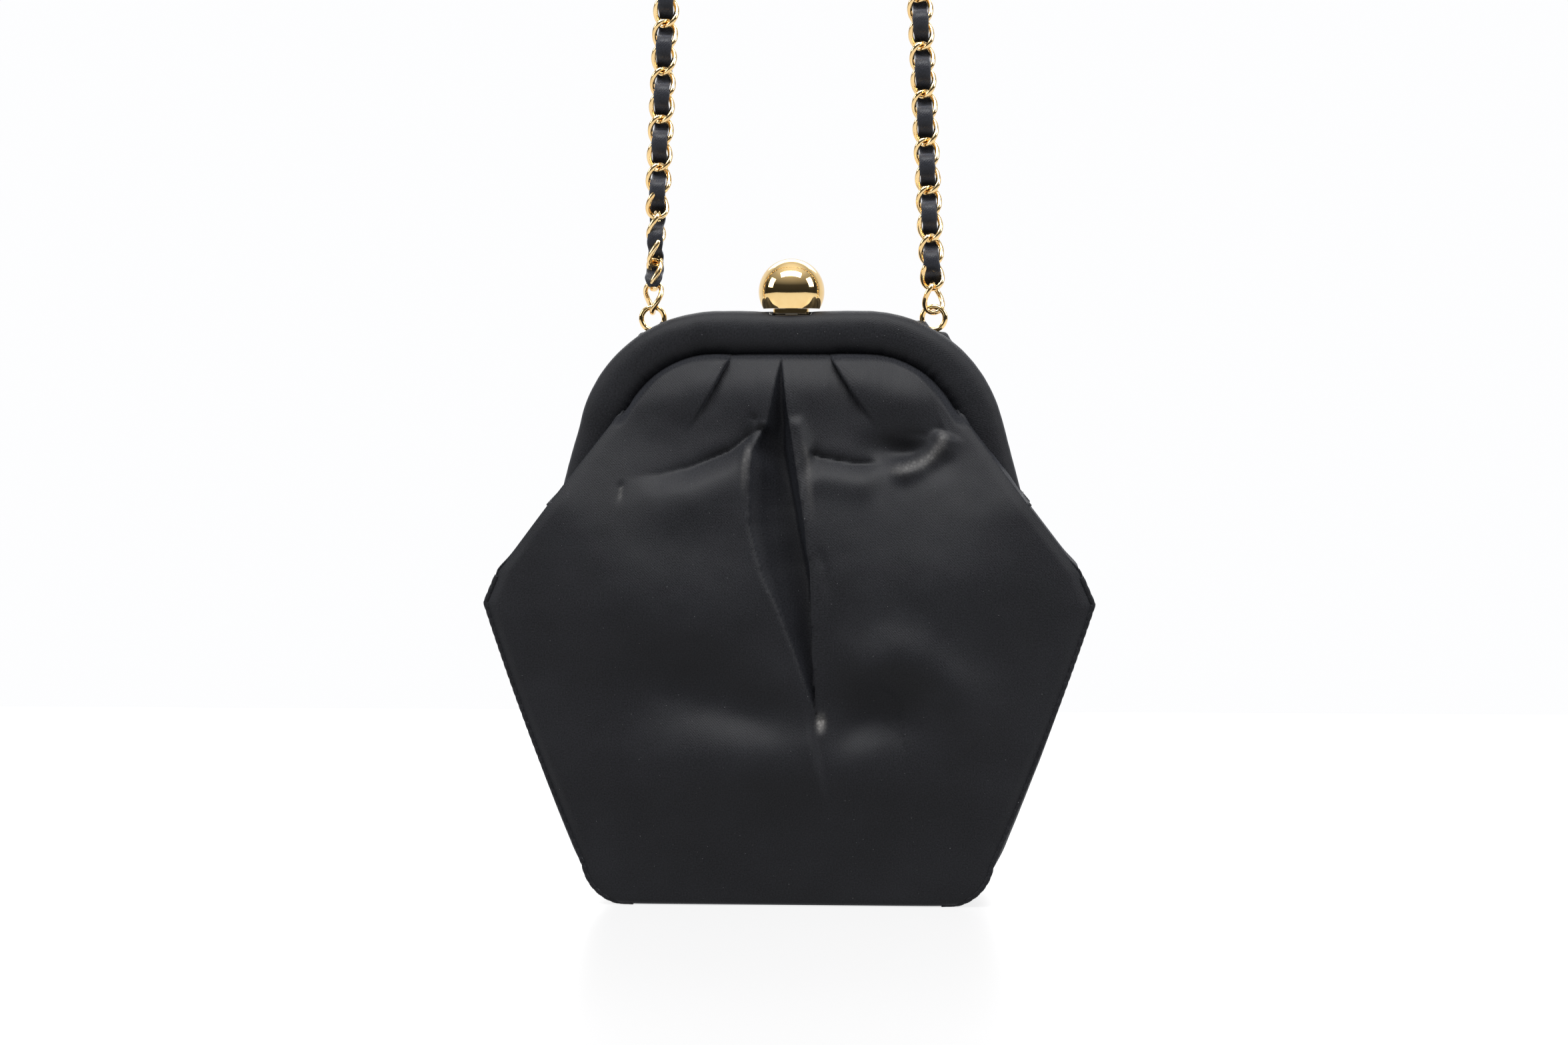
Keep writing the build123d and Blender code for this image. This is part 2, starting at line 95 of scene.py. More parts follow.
def hill(x, width):
    return np.exp(-((x / width) ** 2))


def circle_through(a, b, c):
    """Centre and radius of the circle through three points."""
    ax, ay, bx, by, cx, cy = *a, *b, *c
    d = 2 * (ax * (by - cy) + bx * (cy - ay) + cx * (ay - by))
    sa, sb, sc = ax * ax + ay * ay, bx * bx + by * by, cx * cx + cy * cy
    ux = (sa * (by - cy) + sb * (cy - ay) + sc * (ay - by)) / d
    uy = (sa * (cx - bx) + sb * (ax - cx) + sc * (bx - ax)) / d
    return (ux, uy), math.hypot(ax - ux, ay - uy)


def arc(a, b, c, count):
    """Points along the arc from a through b to c."""
    (ux, uy), radius = circle_through(a, b, c)
    start, end = (math.atan2(p[1] - uy, p[0] - ux) for p in (a, c))
    turn = (end - start + math.pi) % (2 * math.pi) - math.pi
    angles = [start + turn * i / count for i in range(count + 1)]
    return [(ux + radius * math.cos(t), uy + radius * math.sin(t)) for t in angles]


def polyline(points, step):
    """Points about step apart along a polyline."""
    out = [points[0]]
    for (ax, ay), (bx, by) in zip(points, points[1:]):
        count = max(1, round(math.hypot(bx - ax, by - ay) / step))
        out += [(ax + (bx - ax) * i / count, ay + (by - ay) * i / count) for i in range(1, count + 1)]
    return out


OUTLINE = np.array(
    polyline([(BASE_SEAM_X, 0.0), CORNER[0]], 1.0)[:-1] + arc(*CORNER, 14)[:-1] + arc(*SIDE, 70)[:-1]
    + polyline(DIAGONAL, 1.0)
)
SIDE_TABLE = OUTLINE[np.flatnonzero(OUTLINE[:, 1] > 0)[0] - 1:]


def half_width(z):
    """Half width of the front outline at a height."""
    return np.interp(z, SIDE_TABLE[:, 1], SIDE_TABLE[:, 0])


def arch_half(z, radius):
    """Half width of the frame's opening at a height, for a shoulder of that radius."""
    return SHOULDER[0] + np.sqrt(np.maximum(radius ** 2 - np.maximum(z - SHOULDER[1], 0.0) ** 2, 0.0))


def panel_half(z):
    """Half width of the front and back cloth, which end under the frame's roll."""
    open_half = arch_half(z, FRAME_R - 2 * ROLL_HALF[1] + TUCK)
    return np.where(z > ARM_MEET, np.minimum(half_width(z), open_half), half_width(z))


_Z = np.arange(-30.0, 175.0, 0.5)
(_cy, _cz), _cr = circle_through(*BODY_PROFILE)
_low = _cy + np.sqrt(np.maximum(_cr ** 2 - (_Z - _cz) ** 2, 0.0))
_slope = (BODY_TOP[0] - BODY_PROFILE[2][0]) / (BODY_TOP[1] - BODY_PROFILE[2][1])
_high = BODY_PROFILE[2][0] + (_Z - BODY_PROFILE[2][1]) * _slope
_kernel = np.exp(-((np.arange(-20, 21) * 0.5 / 5.0) ** 2))
PROFILE = np.convolve(np.pad(np.where(_Z < BODY_PROFILE[2][1], _low, _high), 20, mode="edge"),
                      _kernel / _kernel.sum(), mode="valid")
CROWN_CENTRE, CROWN_R = circle_through(*CROWN)


def depth(x, z):
    """Half depth of the bag at a point of its front view, before pleats and folds."""
    side = np.interp(z, _Z, PROFILE)
    crown = CROWN_CENTRE[1] + np.sqrt(CROWN_R ** 2 - x ** 2)
    return -np.log(np.exp(-1.5 * side) + np.exp(-1.5 * crown)) / 1.5


def length_along(line):
    """The length of a polyline up to each of its points."""
    return np.concatenate([[0.0], np.cumsum(np.linalg.norm(np.diff(line, axis=0), axis=1))])


def near(line, x, z):
    """Signed distance and share along a polyline for arrays of points. The distance is positive on
    the left of the way the line runs."""
    line = np.asarray(line, float)
    done = length_along(line)
    best = np.full(np.shape(x), 1e9)
    side, share = np.ones(np.shape(x)), np.zeros(np.shape(x))
    for i, (a, b) in enumerate(zip(line, line[1:])):
        d = b - a
        t = np.clip(((x - a[0]) * d[0] + (z - a[1]) * d[1]) / (d @ d), 0.0, 1.0)
        gap = np.hypot(x - a[0] - t * d[0], z - a[1] - t * d[1])
        closer = gap < best
        best = np.where(closer, gap, best)
        side = np.where(closer, np.sign(d[0] * (z - a[1]) - d[1] * (x - a[0])), side)
        share = np.where(closer, (done[i] + t * (done[i + 1] - done[i])) / done[-1], share)
    return best * side, share


def wander(x, z, size, seed):
    """Smooth noise from -1 to 1 over a plane."""
    flat = [noise.noise(Vector((a / size, b / size, seed))) for a, b in zip(np.ravel(x), np.ravel(z))]
    return np.array(flat).reshape(np.shape(x))


# ------------------------------------------------------------------ meshes
def new_object(name, points, faces, material):
    mesh = bpy.data.meshes.new(name)
    mesh.from_pydata([tuple(p) for p in np.asarray(points, float) * MM], [], faces)
    mesh.update()
    mesh.polygons.foreach_set("use_smooth", [True] * len(mesh.polygons))
    obj = bpy.data.objects.new(name, mesh)
    bpy.context.scene.collection.objects.link(obj)
    mesh.materials.append(material)
    return obj


def grid_faces(rows, columns, wrap=False, flip=False):
    """Quads of a grid of points in row order; wrap closes each row into a ring."""
    faces = []
    for r in range(rows - 1):
        for c in range(columns if wrap else columns - 1):
            n = (c + 1) % columns
            quad = (r * columns + c, r * columns + n, (r + 1) * columns + n, (r + 1) * columns + c)
            faces.append(quad[::-1] if flip else quad)
    return faces


def end_caps(rows, columns):
    """The two end faces of a tube made of rows of points."""
    last = (rows - 1) * columns
    return [tuple(range(columns))[::-1], tuple(range(last, last + columns))]


def weave(obj, points):
    """Cloth coordinates for the weave, in centimetres along and across the cloth."""
    data = obj.data.attributes.new("weave", "FLOAT_VECTOR", "POINT")
    data.data.foreach_set("vector", (np.asarray(points, float) / 10.0).astype(np.float32).ravel())


def flat(x, y, z):
    """Grids of x, y and z as one list of points."""
    return np.stack([x, y, z], -1).reshape(-1, 3)


def cloth_grid(name, places, u, v, flip, material):
    """A cloth from grids of its x, y and z, with the places u and v of its points on the flat cloth."""
    piece = new_object(name, flat(*places), grid_faces(*u.shape, flip=flip), material)
    weave(piece, flat(u, np.zeros_like(u), v))
    return piece


def joined(parts):
    """Points and faces of several meshes as one."""
    points, faces, start = [], [], 0
    for some, their_faces in parts:
        points.append(some)
        faces += [tuple(i + start for i in f) for f in their_faces]
        start += len(some)
    return np.concatenate(points), faces


def value(obj, name, values):
    data = obj.data.attributes.new(name, "FLOAT", "POINT")
    data.data.foreach_set("value", np.asarray(values, np.float32).ravel())


def thicken(obj, thickness, offset=-1.0):
    """Gives a sheet its thickness, inwards from its outer face, and makes that its mesh."""
    mod = obj.modifiers.new("wall", "SOLIDIFY")
    mod.thickness, mod.offset = thickness * MM, offset
    mod.use_rim = True
    graph = bpy.context.evaluated_depsgraph_get()
    mesh = bpy.data.meshes.new_from_object(obj.evaluated_get(graph), preserve_all_data_layers=True,
                                           depsgraph=graph)
    obj.modifiers.clear()
    old = obj.data
    obj.data = mesh
    bpy.data.meshes.remove(old)
    mesh.name = obj.name
    return obj


def unit(rows):
    return rows / np.linalg.norm(rows, axis=1)[:, None]


def circles(one, two, sides):
    """Unit circles from two directions at each place of a line."""
    angle = np.linspace(0, 2 * math.pi, sides, endpoint=False)
    return one[:, None, :] * np.cos(angle)[None, :, None] + two[:, None, :] * np.sin(angle)[None, :, None]


def tube(centres, normal, sides, radius):
    """Points and faces of a closed-ended tube with a radius for each centre."""
    ahead = unit(np.gradient(centres, axis=0))
    one = unit(np.cross(ahead, normal))
    ring = circles(one, np.cross(one, ahead), sides)
    points = (centres[:, None, :] + ring * radius[:, None, None]).reshape(-1, 3)
    return points, grid_faces(len(centres), sides, wrap=True) + end_caps(len(centres), sides)


# ------------------------------------------------------------------ materials
def node_material(name):
    mat = bpy.data.materials.new(name)
    mat.use_nodes = True
    nodes, links = mat.node_tree.nodes, mat.node_tree.links
    shader = nodes["Principled BSDF"]

    def add(kind, **settings):
        made = nodes.new("ShaderNode" + kind)
        for key, val in settings.items():
            setattr(made, key, val)
        return made

    return mat, add, links, shader


def ramp(node, stops):
    elements = node.color_ramp.elements
    while len(elements) < len(stops):
        elements.new(0.5)
    for element, (place, colour) in zip(elements, stops):
        element.position = place
        element.color = (*colour, 1.0) if len(colour) == 3 else colour
    return node


def noise_node(add, links, where, scale, detail):
    node = add("TexNoise")
    node.inputs["Scale"].default_value = scale
    node.inputs["Detail"].default_value = detail
    links.new(where, node.inputs["Vector"])
    return node


def blend_to(add, links, amount, first, colour):
    """The first colour turned towards a fixed one by an amount."""
    mixed = add("MixRGB", blend_type="MIX")
    mixed.inputs["Color2"].default_value = (*colour, 1.0)
    links.new(amount, mixed.inputs["Fac"])
    links.new(first, mixed.inputs["Color1"])
    return mixed.outputs["Color"]


def map_range(add, links, source, low, high, result):
    node = add("MapRange")
    for name, number in zip(("From Min", "From Max", "To Min", "To Max"), (low, high, *result)):
        node.inputs[name].default_value = number
    links.new(source, node.inputs["Value"])
    return node.outputs["Result"]


def bump_from(add, links, shader, height, strength, distance):
    bump = add("Bump")
    bump.inputs["Strength"].default_value = strength
    bump.inputs["Distance"].default_value = distance
    links.new(height, bump.inputs["Height"])
    links.new(bump.outputs["Normal"], shader.inputs["Normal"])


def satin(name, dark, light, rough, sheen, grain=1.0):
    """Woven satin: fine threads, faint cloudy tone, lint, and pale dry patches where it is worn."""
    mat, add, links, shader = node_material(name)
    where = add("Attribute", attribute_name="weave")
    cloud = noise_node(add, links, where.outputs["Vector"], 0.55, 5.0)
    fine = noise_node(add, links, where.outputs["Vector"], 26.0, 3.0)
    threads = add("TexWave", wave_type="BANDS", bands_direction="DIAGONAL")
    threads.inputs["Scale"].default_value = 9.0
    threads.inputs["Distortion"].default_value = 1.5
    threads.inputs["Detail"].default_value = 2.0
    links.new(where.outputs["Vector"], threads.inputs["Vector"])
    mix = add("Math", operation="MULTIPLY_ADD")
    mix.inputs[1].default_value = 0.75
    links.new(fine.outputs["Fac"], mix.inputs[0])
    tone = add("Math", operation="MULTIPLY")
    tone.inputs[1].default_value = 0.25
    links.new(cloud.outputs["Fac"], tone.inputs[0])
    links.new(tone.outputs[0], mix.inputs[2])
    colour = ramp(add("ValToRGB"), [(0.32, dark), (0.68, light)])
    links.new(mix.outputs[0], colour.inputs["Fac"])
    worn = add("Attribute", attribute_name="wear")
    crack = add("TexVoronoi", feature="DISTANCE_TO_EDGE")
    crack.inputs["Scale"].default_value = 9.0
    links.new(where.outputs["Vector"], crack.inputs["Vector"])
    split = add("Math", operation="MULTIPLY_ADD")
    split.inputs[1].default_value = 1.6
    split.inputs[2].default_value = 0.55
    links.new(crack.outputs["Distance"], split.inputs[0])
    patchy = add("Math", operation="MULTIPLY", use_clamp=True)
    links.new(worn.outputs["Fac"], patchy.inputs[0])
    links.new(split.outputs[0], patchy.inputs[1])
    frayed = blend_to(add, links, patchy.outputs[0], colour.outputs["Color"], (0.17, 0.165, 0.16))
    speck = noise_node(add, links, where.outputs["Vector"], 22.0, 1.0)
    few = ramp(add("ValToRGB"), [(0.775, (0.0,) * 3), (0.80, (0.8,) * 3)])
    links.new(speck.outputs["Fac"], few.inputs["Fac"])
    linty = blend_to(add, links, few.outputs["Color"], frayed, (0.16, 0.16, 0.165))
    links.new(linty, shader.inputs["Base Color"])
    shine = map_range(add, links, mix.outputs[0], 0.3, 0.7, rough)
    dry = blend_to(add, links, patchy.outputs[0], shine, (0.85, 0.85, 0.85))
    links.new(dry, shader.inputs["Roughness"])
    relief = add("Math", operation="MULTIPLY_ADD")
    relief.inputs[1].default_value = 0.22
    links.new(threads.outputs["Fac"], relief.inputs[0])
    links.new(fine.outputs["Fac"], relief.inputs[2])
    bump_from(add, links, shader, relief.outputs[0], 0.5 * grain, 0.00012)
    shader.inputs["Specular IOR Level"].default_value = 0.16
    shader.inputs["Sheen Weight"].default_value = sheen
    shader.inputs["Sheen Roughness"].default_value = 0.45
    shader.inputs["Sheen Tint"].default_value = (0.75, 0.82, 1.0, 1.0)
    return mat


def metal(name, colour, deep, rough, scratch=0.2):
    """Plated metal: slightly uneven tone, fine scratches and finger haze."""
    mat, add, links, shader = node_material(name)
    where = add("TexCoord")
    haze = noise_node(add, links, where.outputs["Object"], 225.0, 6.0)
    fine = noise_node(add, links, where.outputs["Object"], 2700.0, 4.0)
    tone = ramp(add("ValToRGB"), [(0.3, deep), (0.62, colour)])
    links.new(haze.outputs["Fac"], tone.inputs["Fac"])
    links.new(tone.outputs["Color"], shader.inputs["Base Color"])
    shine = map_range(add, links, haze.outputs["Fac"], 0.35, 0.7, rough)
    links.new(shine, shader.inputs["Roughness"])
    bump_from(add, links, shader, fine.outputs["Fac"], scratch, 0.00002)
    shader.inputs["Metallic"].default_value = 1.0
    return mat


def fibre(name, dark, light, scale, rough):
    """Matt board or wadding with a speckled, fibrous surface."""
    mat, add, links, shader = node_material(name)
    where = add("TexCoord")
    speck = noise_node(add, links, where.outputs["Object"], scale, 8.0)
    tone = ramp(add("ValToRGB"), [(0.3, dark), (0.7, light)])
    links.new(speck.outputs["Fac"], tone.inputs["Fac"])
    links.new(tone.outputs["Color"], shader.inputs["Base Color"])
    bump_from(add, links, shader, speck.outputs["Fac"], 0.6, 0.0002)
    shader.inputs["Roughness"].default_value = rough
    return mat


SATIN = satin("black_satin", (0.0020, 0.0022, 0.0030), (0.0130, 0.0135, 0.0165), (0.5, 0.64), 0.03)
LINING = satin("lining_satin", (0.009, 0.009, 0.011), (0.017, 0.017, 0.02), (0.33, 0.45), 0.1)
RIBBON = satin("ribbon_satin", (0.008, 0.0085, 0.011), (0.02, 0.021, 0.026), (0.36, 0.5), 0.3, 1.4)
BOARD = fibre("stiffener_board", (0.27, 0.255, 0.23), (0.4, 0.38, 0.35), 900.0, 0.85)
WADDING = fibre("foam_padding", (0.5, 0.5, 0.48), (0.7, 0.7, 0.67), 500.0, 0.95)
STEEL = metal("frame_steel", (0.56, 0.55, 0.53), (0.42, 0.41, 0.4), (0.25, 0.42))
SPRING = metal("spring_steel", (0.45, 0.45, 0.47), (0.32, 0.32, 0.34), (0.2, 0.35))
GOLD = metal("polished_gold", (0.94, 0.68, 0.32), (0.88, 0.6, 0.25), (0.03, 0.08), scratch=0.05)
CHAIN_GOLD = metal("chain_gold", (0.95, 0.70, 0.36), (0.86, 0.58, 0.26), (0.08, 0.2), scratch=0.15)
BY_SLOT = {
    "black_satin": SATIN, "lining_satin": LINING, "ribbon_satin": RIBBON, "stiffener_board": BOARD,
    "foam_padding": WADDING, "frame_steel": STEEL, "spring_steel": SPRING, "polished_gold": GOLD,
    "chain_gold": CHAIN_GOLD,
}
for part in frame["record"]["subparts"]:
    mesh = frame["nodes"][part["node"]].data
    mesh.materials.clear()
    mesh.materials.append(BY_SLOT[part["material_slot"]])


# ------------------------------------------------------------------ pleats and folds of the front
LEFT_PLEAT = [(-15.5, 147.0), (-27.2, 124.3)]
RIGHT_PLEAT = [(10.1, 147.2), (24.0, 125.2)]
VALLEY_LEFT = [(-2.6, 147.5), (-2.5, 144.6), (-6.2, 126.9), (-9.7, 119.9), (-10.2, 109.3), (-10.2, 100.4),
               (-6.7, 88.1), (-1.9, 77.5), (2.6, 66.0), (6.5, 55.0), (8.6, 48.8)]
VALLEY_RIGHT = [(-2.3, 147.5), (-2.2, 144.6), (0.7, 128.7), (2.5, 118.1), (5.1, 102.2), (7.1, 86.3),
                (7.7, 70.0), (8.0, 52.0), (9.2, 48.8)]
VALLEY_DEPTH = [(147.0, 0.0), (144.0, 0.6), (138.0, 2.2), (128.0, 5.0), (118.0, 7.5), (105.0, 9.0),
                (90.0, 8.2), (77.0, 6.4), (65.0, 4.2), (55.0, 2.2), (49.0, 0.0)]
LEFT_DRAPE = [(-6.4, 126.9), (-15.2, 119.9), (-25.8, 115.4), (-32.9, 113.7), (-45.2, 112.4)]
LEFT_LIP = [(-6.8, 128.6), (-9.0, 124.5), (-10.8, 119.0), (-11.3, 106.0)]
RIGHT_LIP = [(1.6, 129.4), (3.6, 124.0), (5.2, 118.0), (6.9, 104.0)]
RIGHT_FOLD = [(5.0, 119.5), (8.7, 118.1), (17.0, 116.6), (25.4, 116.3)]
CRESCENT = [(41.5, 124.8), (40.3, 121.0), (37.8, 118.2), (34.5, 116.2), (31.0, 115.0), (25.4, 114.2)]
S_RIDGE = [(13.0, 50.0), (17.5, 56.0), (23.0, 62.4), (29.0, 65.6), (34.5, 64.3), (39.6, 60.5), (47.0, 54.8),
           (54.4, 49.9), (61.0, 43.0)]
SPOT_RIDGE = [(9.0, 43.0), (0.0, 41.2), (-10.0, 39.6), (-22.3, 37.0), (-31.1, 33.5), (-40.0, 29.0)]
# centre, radii and height of the places where the front stands out
SWELLS = [
    ((-38.0, 79.0), (30.0, 19.0), 4.2), ((42.0, 82.0), (25.0, 18.0), 3.8),
    ((0.0, 46.0), (62.0, 24.0), 2.6), ((-38.0, 34.0), (22.0, 15.0), 1.4),
    ((30.0, 34.0), (24.0, 13.0), 1.5), ((-31.0, 131.0), (9.0, 7.0), 1.0),
    ((31.0, 133.0), (9.0, 6.0), 1.2), ((0.0, 137.0), (44.0, 9.0), 3.0),
]


def taper(share, start, end):
    """1 along the middle of a line and 0 at its ends."""
    rise = ease(0.0, start, share) if start else 1.0
    fall = 1.0 - ease(1.0 - end, 1.0, share) if end else 1.0
    return rise * fall


def overlap(moves, line, x, z, height, over, reach, fade, lip=0.9):
    """A pleat: cloth on one side of a line lies on the cloth of the other side."""
    gap, share = near(line, x, z)
    gap = gap * over
    strength = 1.0 - ease(1.0 - fade, 1.0, share)
    top = ease(-0.45, 0.35, gap) * (1 - ease(1.0, reach, gap))
    under = -0.5 * np.exp(gap / 4.0) * (gap < -0.45)
    moves[1] += height * strength * (top + under * (1 - top))
    d = np.diff(np.asarray(line, float), axis=0).sum(0)
    d /= np.linalg.norm(d)
    push = lip * strength * hill(gap - 0.25, 0.9)
    moves[0] += push * d[1] * over
    moves[2] += -push * d[0] * over


def ridge(moves, line, x, z, height, left, right, start=0.2, end=0.2):
    """A raised fold with its own width on each side of a line."""
    gap, share = near(line, x, z)
    width = np.where(gap > 0, left, right)
    moves[1] += height * taper(share, start, end) * hill(gap, width)


def crease(moves, line, x, z, deep, left, right, start=0.1, end=0.3):
    """A sharp valley along a line."""
    gap, share = near(line, x, z)
    width = np.where(gap > 0, left, right)
    moves[1] -= deep * taper(share, start, end) * np.exp(-np.abs(gap) / width)


def dent(moves, x, z, centre, radii, deep, turn=0.0):
    c, s = math.cos(math.radians(turn)), math.sin(math.radians(turn))
    u = ((x - centre[0]) * c + (z - centre[1]) * s) / radii[0]
    v = (-(x - centre[0]) * s + (z - centre[1]) * c) / radii[1]
    moves[1] -= deep * np.exp(-(u * u + v * v))


def valley(moves, x, z):
    """The deep inverted pleat in the middle: its left side rolls in, its right side overhangs."""
    order = slice(None, None, -1)
    table = [np.array(t[order]) for t in (VALLEY_LEFT, VALLEY_RIGHT, VALLEY_DEPTH)]
    left = np.interp(z, table[0][:, 1], table[0][:, 0])
    right = np.interp(z, table[1][:, 1], table[1][:, 0])
    deep = np.interp(z, table[2][:, 0], table[2][:, 1]) * (z > 48.9)
    u = (x - left) / np.maximum(right - left, 0.2)
    low = np.interp(z, [80.0, 105.0, 138.0], [0.88, 0.78, 0.55])
    wall = np.interp(z, [60.0, 80.0, 125.0], [0.6, 0.5, 0.5])
    down = ease(0.0, 1.0, np.clip(u / low, 0, 1)) ** wall
    up = 1.0 - ease(0.0, 1.0, np.clip((u - low) / np.maximum(1.0 - low, 0.05), 0, 1))
    inside = (u > 0) & (u < 1)
    moves[1] -= np.where(inside, deep * np.where(u < low, down, up), 0.0)
    share = deep / 7.0
    moves[1] += 1.3 * share * np.where(x >= right, np.exp(-(x - right) / 7.0), 0.0)
    moves[1] += 0.9 * share * np.where(x <= left, np.exp((x - left) / 8.0), 0.0)
    slide = 1.1 * np.minimum(share * 1.6, 1.0)
    moves[0] -= slide * hill(x - right - 0.4, 0.9) * (x > right - 1.5)
    moves[0] += 0.7 * slide * hill(x - right + 0.9, 0.7)
    moves[0] += 0.5 * slide * hill(x - left + 0.3, 1.0) * np.interp(z, [95, 110, 138], [0.0, 0.6, 0.9])


def front_moves(x, z):
    """How far each point of the front moves along x, out of the bag, and along z."""
    moves = [np.zeros_like(x) for _ in range(3)]
    valley(moves, x, z)
    overlap(moves, LEFT_PLEAT, x, z, 2.1, -1, 15.0, 0.6)
    overlap(moves, RIGHT_PLEAT, x, z, 2.1, 1, 15.0, 0.6)
    # the drape that leaves the left of the middle pleat, and the round cloth below it
    crease(moves, LEFT_DRAPE, x, z, 3.0, 2.6, 1.8, 0.04, 0.7)
    ridge(moves, [(a, b - 6.5) for a, b in LEFT_DRAPE], x, z, 2.6, 8.0, 5.0, 0.1, 0.5)
    ridge(moves, LEFT_LIP, x, z, 1.3, 1.6, 1.2, 0.12, 0.7)
    crease(moves, [(-6.6, 127.4), (-9.6, 128.6), (-12.5, 127.6)], x, z, 0.8, 0.8, 1.2, 0.0, 0.8)
    crease(moves, [(-44.0, 112.0), (-44.3, 105.0)], x, z, 0.5, 0.7, 0.7, 0.2, 0.5)
    # the right side's bunched fold and its worn crescent
    ridge(moves, RIGHT_LIP, x, z, 1.1, 1.5, 1.5, 0.12, 0.7)
    crease(moves, RIGHT_FOLD, x, z, 2.3, 1.3, 2.8, 0.1, 0.25)
    ridge(moves, [(a, b - 5.0) for a, b in RIGHT_FOLD], x, z, 1.5, 4.5, 4.5, 0.2, 0.3)
    dent(moves, x, z, (31.0, 119.0), (9.5, 4.2), 4.6, -8.0)
    ridge(moves, CRESCENT, x, z, 3.3, 2.8, 2.4, 0.08, 0.3)
    crease(moves, [(41.5, 126.0), (36.0, 124.0), (27.0, 124.5)], x, z, 0.8, 1.5, 2.5, 0.1, 0.6)
    # soft folds of the lower half
    ridge(moves, S_RIDGE, x, z, 4.3, 8.5, 13.0, 0.3, 0.4)
    dent(moves, x, z, (24.0, 53.5), (13.0, 9.0), 4.8, -16.0)
    ridge(moves, SPOT_RIDGE, x, z, 2.2, 12.0, 16.0, 0.05, 0.8)
    dent(moves, x, z, (-7.0, 50.5), (15.0, 7.5), 3.6, -12.0)
    dent(moves, x, z, (-26.0, 57.0), (15.0, 12.0), 4.2, -10.0)
    dent(moves, x, z, (17.0, 46.0), (7.0, 5.0), 1.6, 40.0)
    crease(moves, [(8.0, 96.0), (10.6, 88.0), (10.9, 79.0)], x, z, 0.6, 0.9, 0.9, 0.3, 0.4)
    crease(moves, [(9.3, 50.5), (9.2, 45.5)], x, z, 0.9, 0.8, 0.8, 0.2, 0.4)
    for centre, radii, out in SWELLS:
        dent(moves, x, z, centre, radii, -out)
    moves[1] += 0.35 * wander(x, z, 19.0, 3.1) + 0.10 * wander(x, z, 5.0, 8.4)
    pull = hill(z - 132.0, 14.0)
    moves[1] += 0.10 * pull * wander(x * 2.2, z * 0.5, 4.0, 1.7)
    return moves


def edge_round(x, z, half):
    """The cloth turns back a little towards the side seams and the base."""
    side = half - np.abs(x)
    low = 1.0 * np.exp(-np.maximum(side, 0) / 2.4) + 0.9 * np.exp(-np.maximum(z, 0) / 0.35)
    return low * (1 - ease(136.0, 142.0, z))


def front_wear(x, z):
    """Pale worn patches: the pleat's foot, the crescent's crest and the tops of the folds."""
    wear = 1.6 * np.exp(-(((x - 9.2) / 0.9) ** 2 + ((z - 48.6) / 1.7) ** 2))
    gap, share = near(CRESCENT, x, z)
    wear += 0.35 * hill(gap + 0.1, 1.25) * taper(share, 0.02, 0.25)
    gap, share = near([(-10.3, 122.5), (-11.3, 117.0), (-11.6, 106.0)], x, z)
    wear += 0.28 * hill(gap, 0.7) * taper(share, 0.2, 0.7)
    gap, share = near([(3.8, 123.5), (5.2, 118.0), (7.2, 99.0)], x, z)
    wear += 0.16 * hill(gap, 0.7) * taper(share, 0.2, 0.6)
    gap, share = near([(-44.0, 110.5), (-44.2, 106.3)], x, z)
    wear += 0.35 * hill(gap, 0.35) * taper(share, 0.2, 0.3)
    return wear


def back_moves(x, z):
    """Pleats and folds of the back: three shallow pleats under the roll and a soft fall below them."""
    moves = [np.zeros_like(x) for _ in range(3)]
    for line, over in (([(-13.0, 147.0), (-22.0, 116.0)], -1), ([(0.5, 147.0), (-1.5, 108.0)], 1),
                       ([(14.0, 147.0), (23.5, 114.0)], 1)):
        overlap(moves, line, x, z, 1.3, over, 12.0, 0.7, 0.7)
    ridge(moves, [(-24.0, 118.0), (-30.0, 95.0), (-26.0, 70.0)], x, z, 1.2, 6.0, 7.0, 0.3, 0.5)
    ridge(moves, [(24.0, 116.0), (33.0, 96.0), (31.0, 74.0)], x, z, 1.2, 6.0, 7.0, 0.3, 0.5)
    ridge(moves, [(-1.5, 112.0), (3.0, 86.0), (-3.0, 58.0)], x, z, 1.3, 6.0, 6.0, 0.3, 0.5)
    dent(moves, x, z, (-13.0, 88.0), (7.0, 20.0), 1.2, 6.0)
    dent(moves, x, z, (16.0, 86.0), (7.0, 20.0), 1.2, -8.0)
    dent(moves, x, z, (-20.0, 45.0), (20.0, 7.0), 0.9, 10.0)
    dent(moves, x, z, (22.0, 42.0), (18.0, 7.0), 0.8, -14.0)
    moves[1] += 0.4 * wander(x, z, 19.0, 13.1) + 0.08 * wander(x, z, 5.0, 18.4)
    return moves


def tucked(x, y, z):
    """The depth drawn in to the middle of the roll where the cloth goes under its inner side."""
    reach = np.hypot(np.maximum(np.abs(x) - SHOULDER[0], 0), np.maximum(z - SHOULDER[1], 0))
    tuck = ease(25.0, 27.6, reach) * ease(126.0, 132.0, z)
    return y * (1 - tuck) + np.minimum(y, 6.8) * tuck


def wall_grid(moves_of, rows, columns):
    """Grid of one face of the bag: the flat cloth's x and z, and the outer surface as x, depth, z."""
    ends = np.linspace(0.0, 1.5, 4), np.linspace(144.4, 146.4, 6)
    heights = np.concatenate([ends[0], np.linspace(2.2, 144.0, rows), ends[1]])
    spread = np.linspace(-1.0, 1.0, columns)
    z = np.repeat(heights[:, None], columns, axis=1)
    half = panel_half(z)
    x = spread[None, :] * half
    moves = moves_of(x, z)
    calm = ease(0.0, 3.5, half - np.abs(x)) * ease(0.0, 5.0, z) * (1 - ease(143.5, 146.5, z))
    y = depth(x, z) + moves[1] * calm - edge_round(x, z, half)
    return x, z, (x + moves[0] * calm, tucked(x, y, z), z + moves[2] * calm)


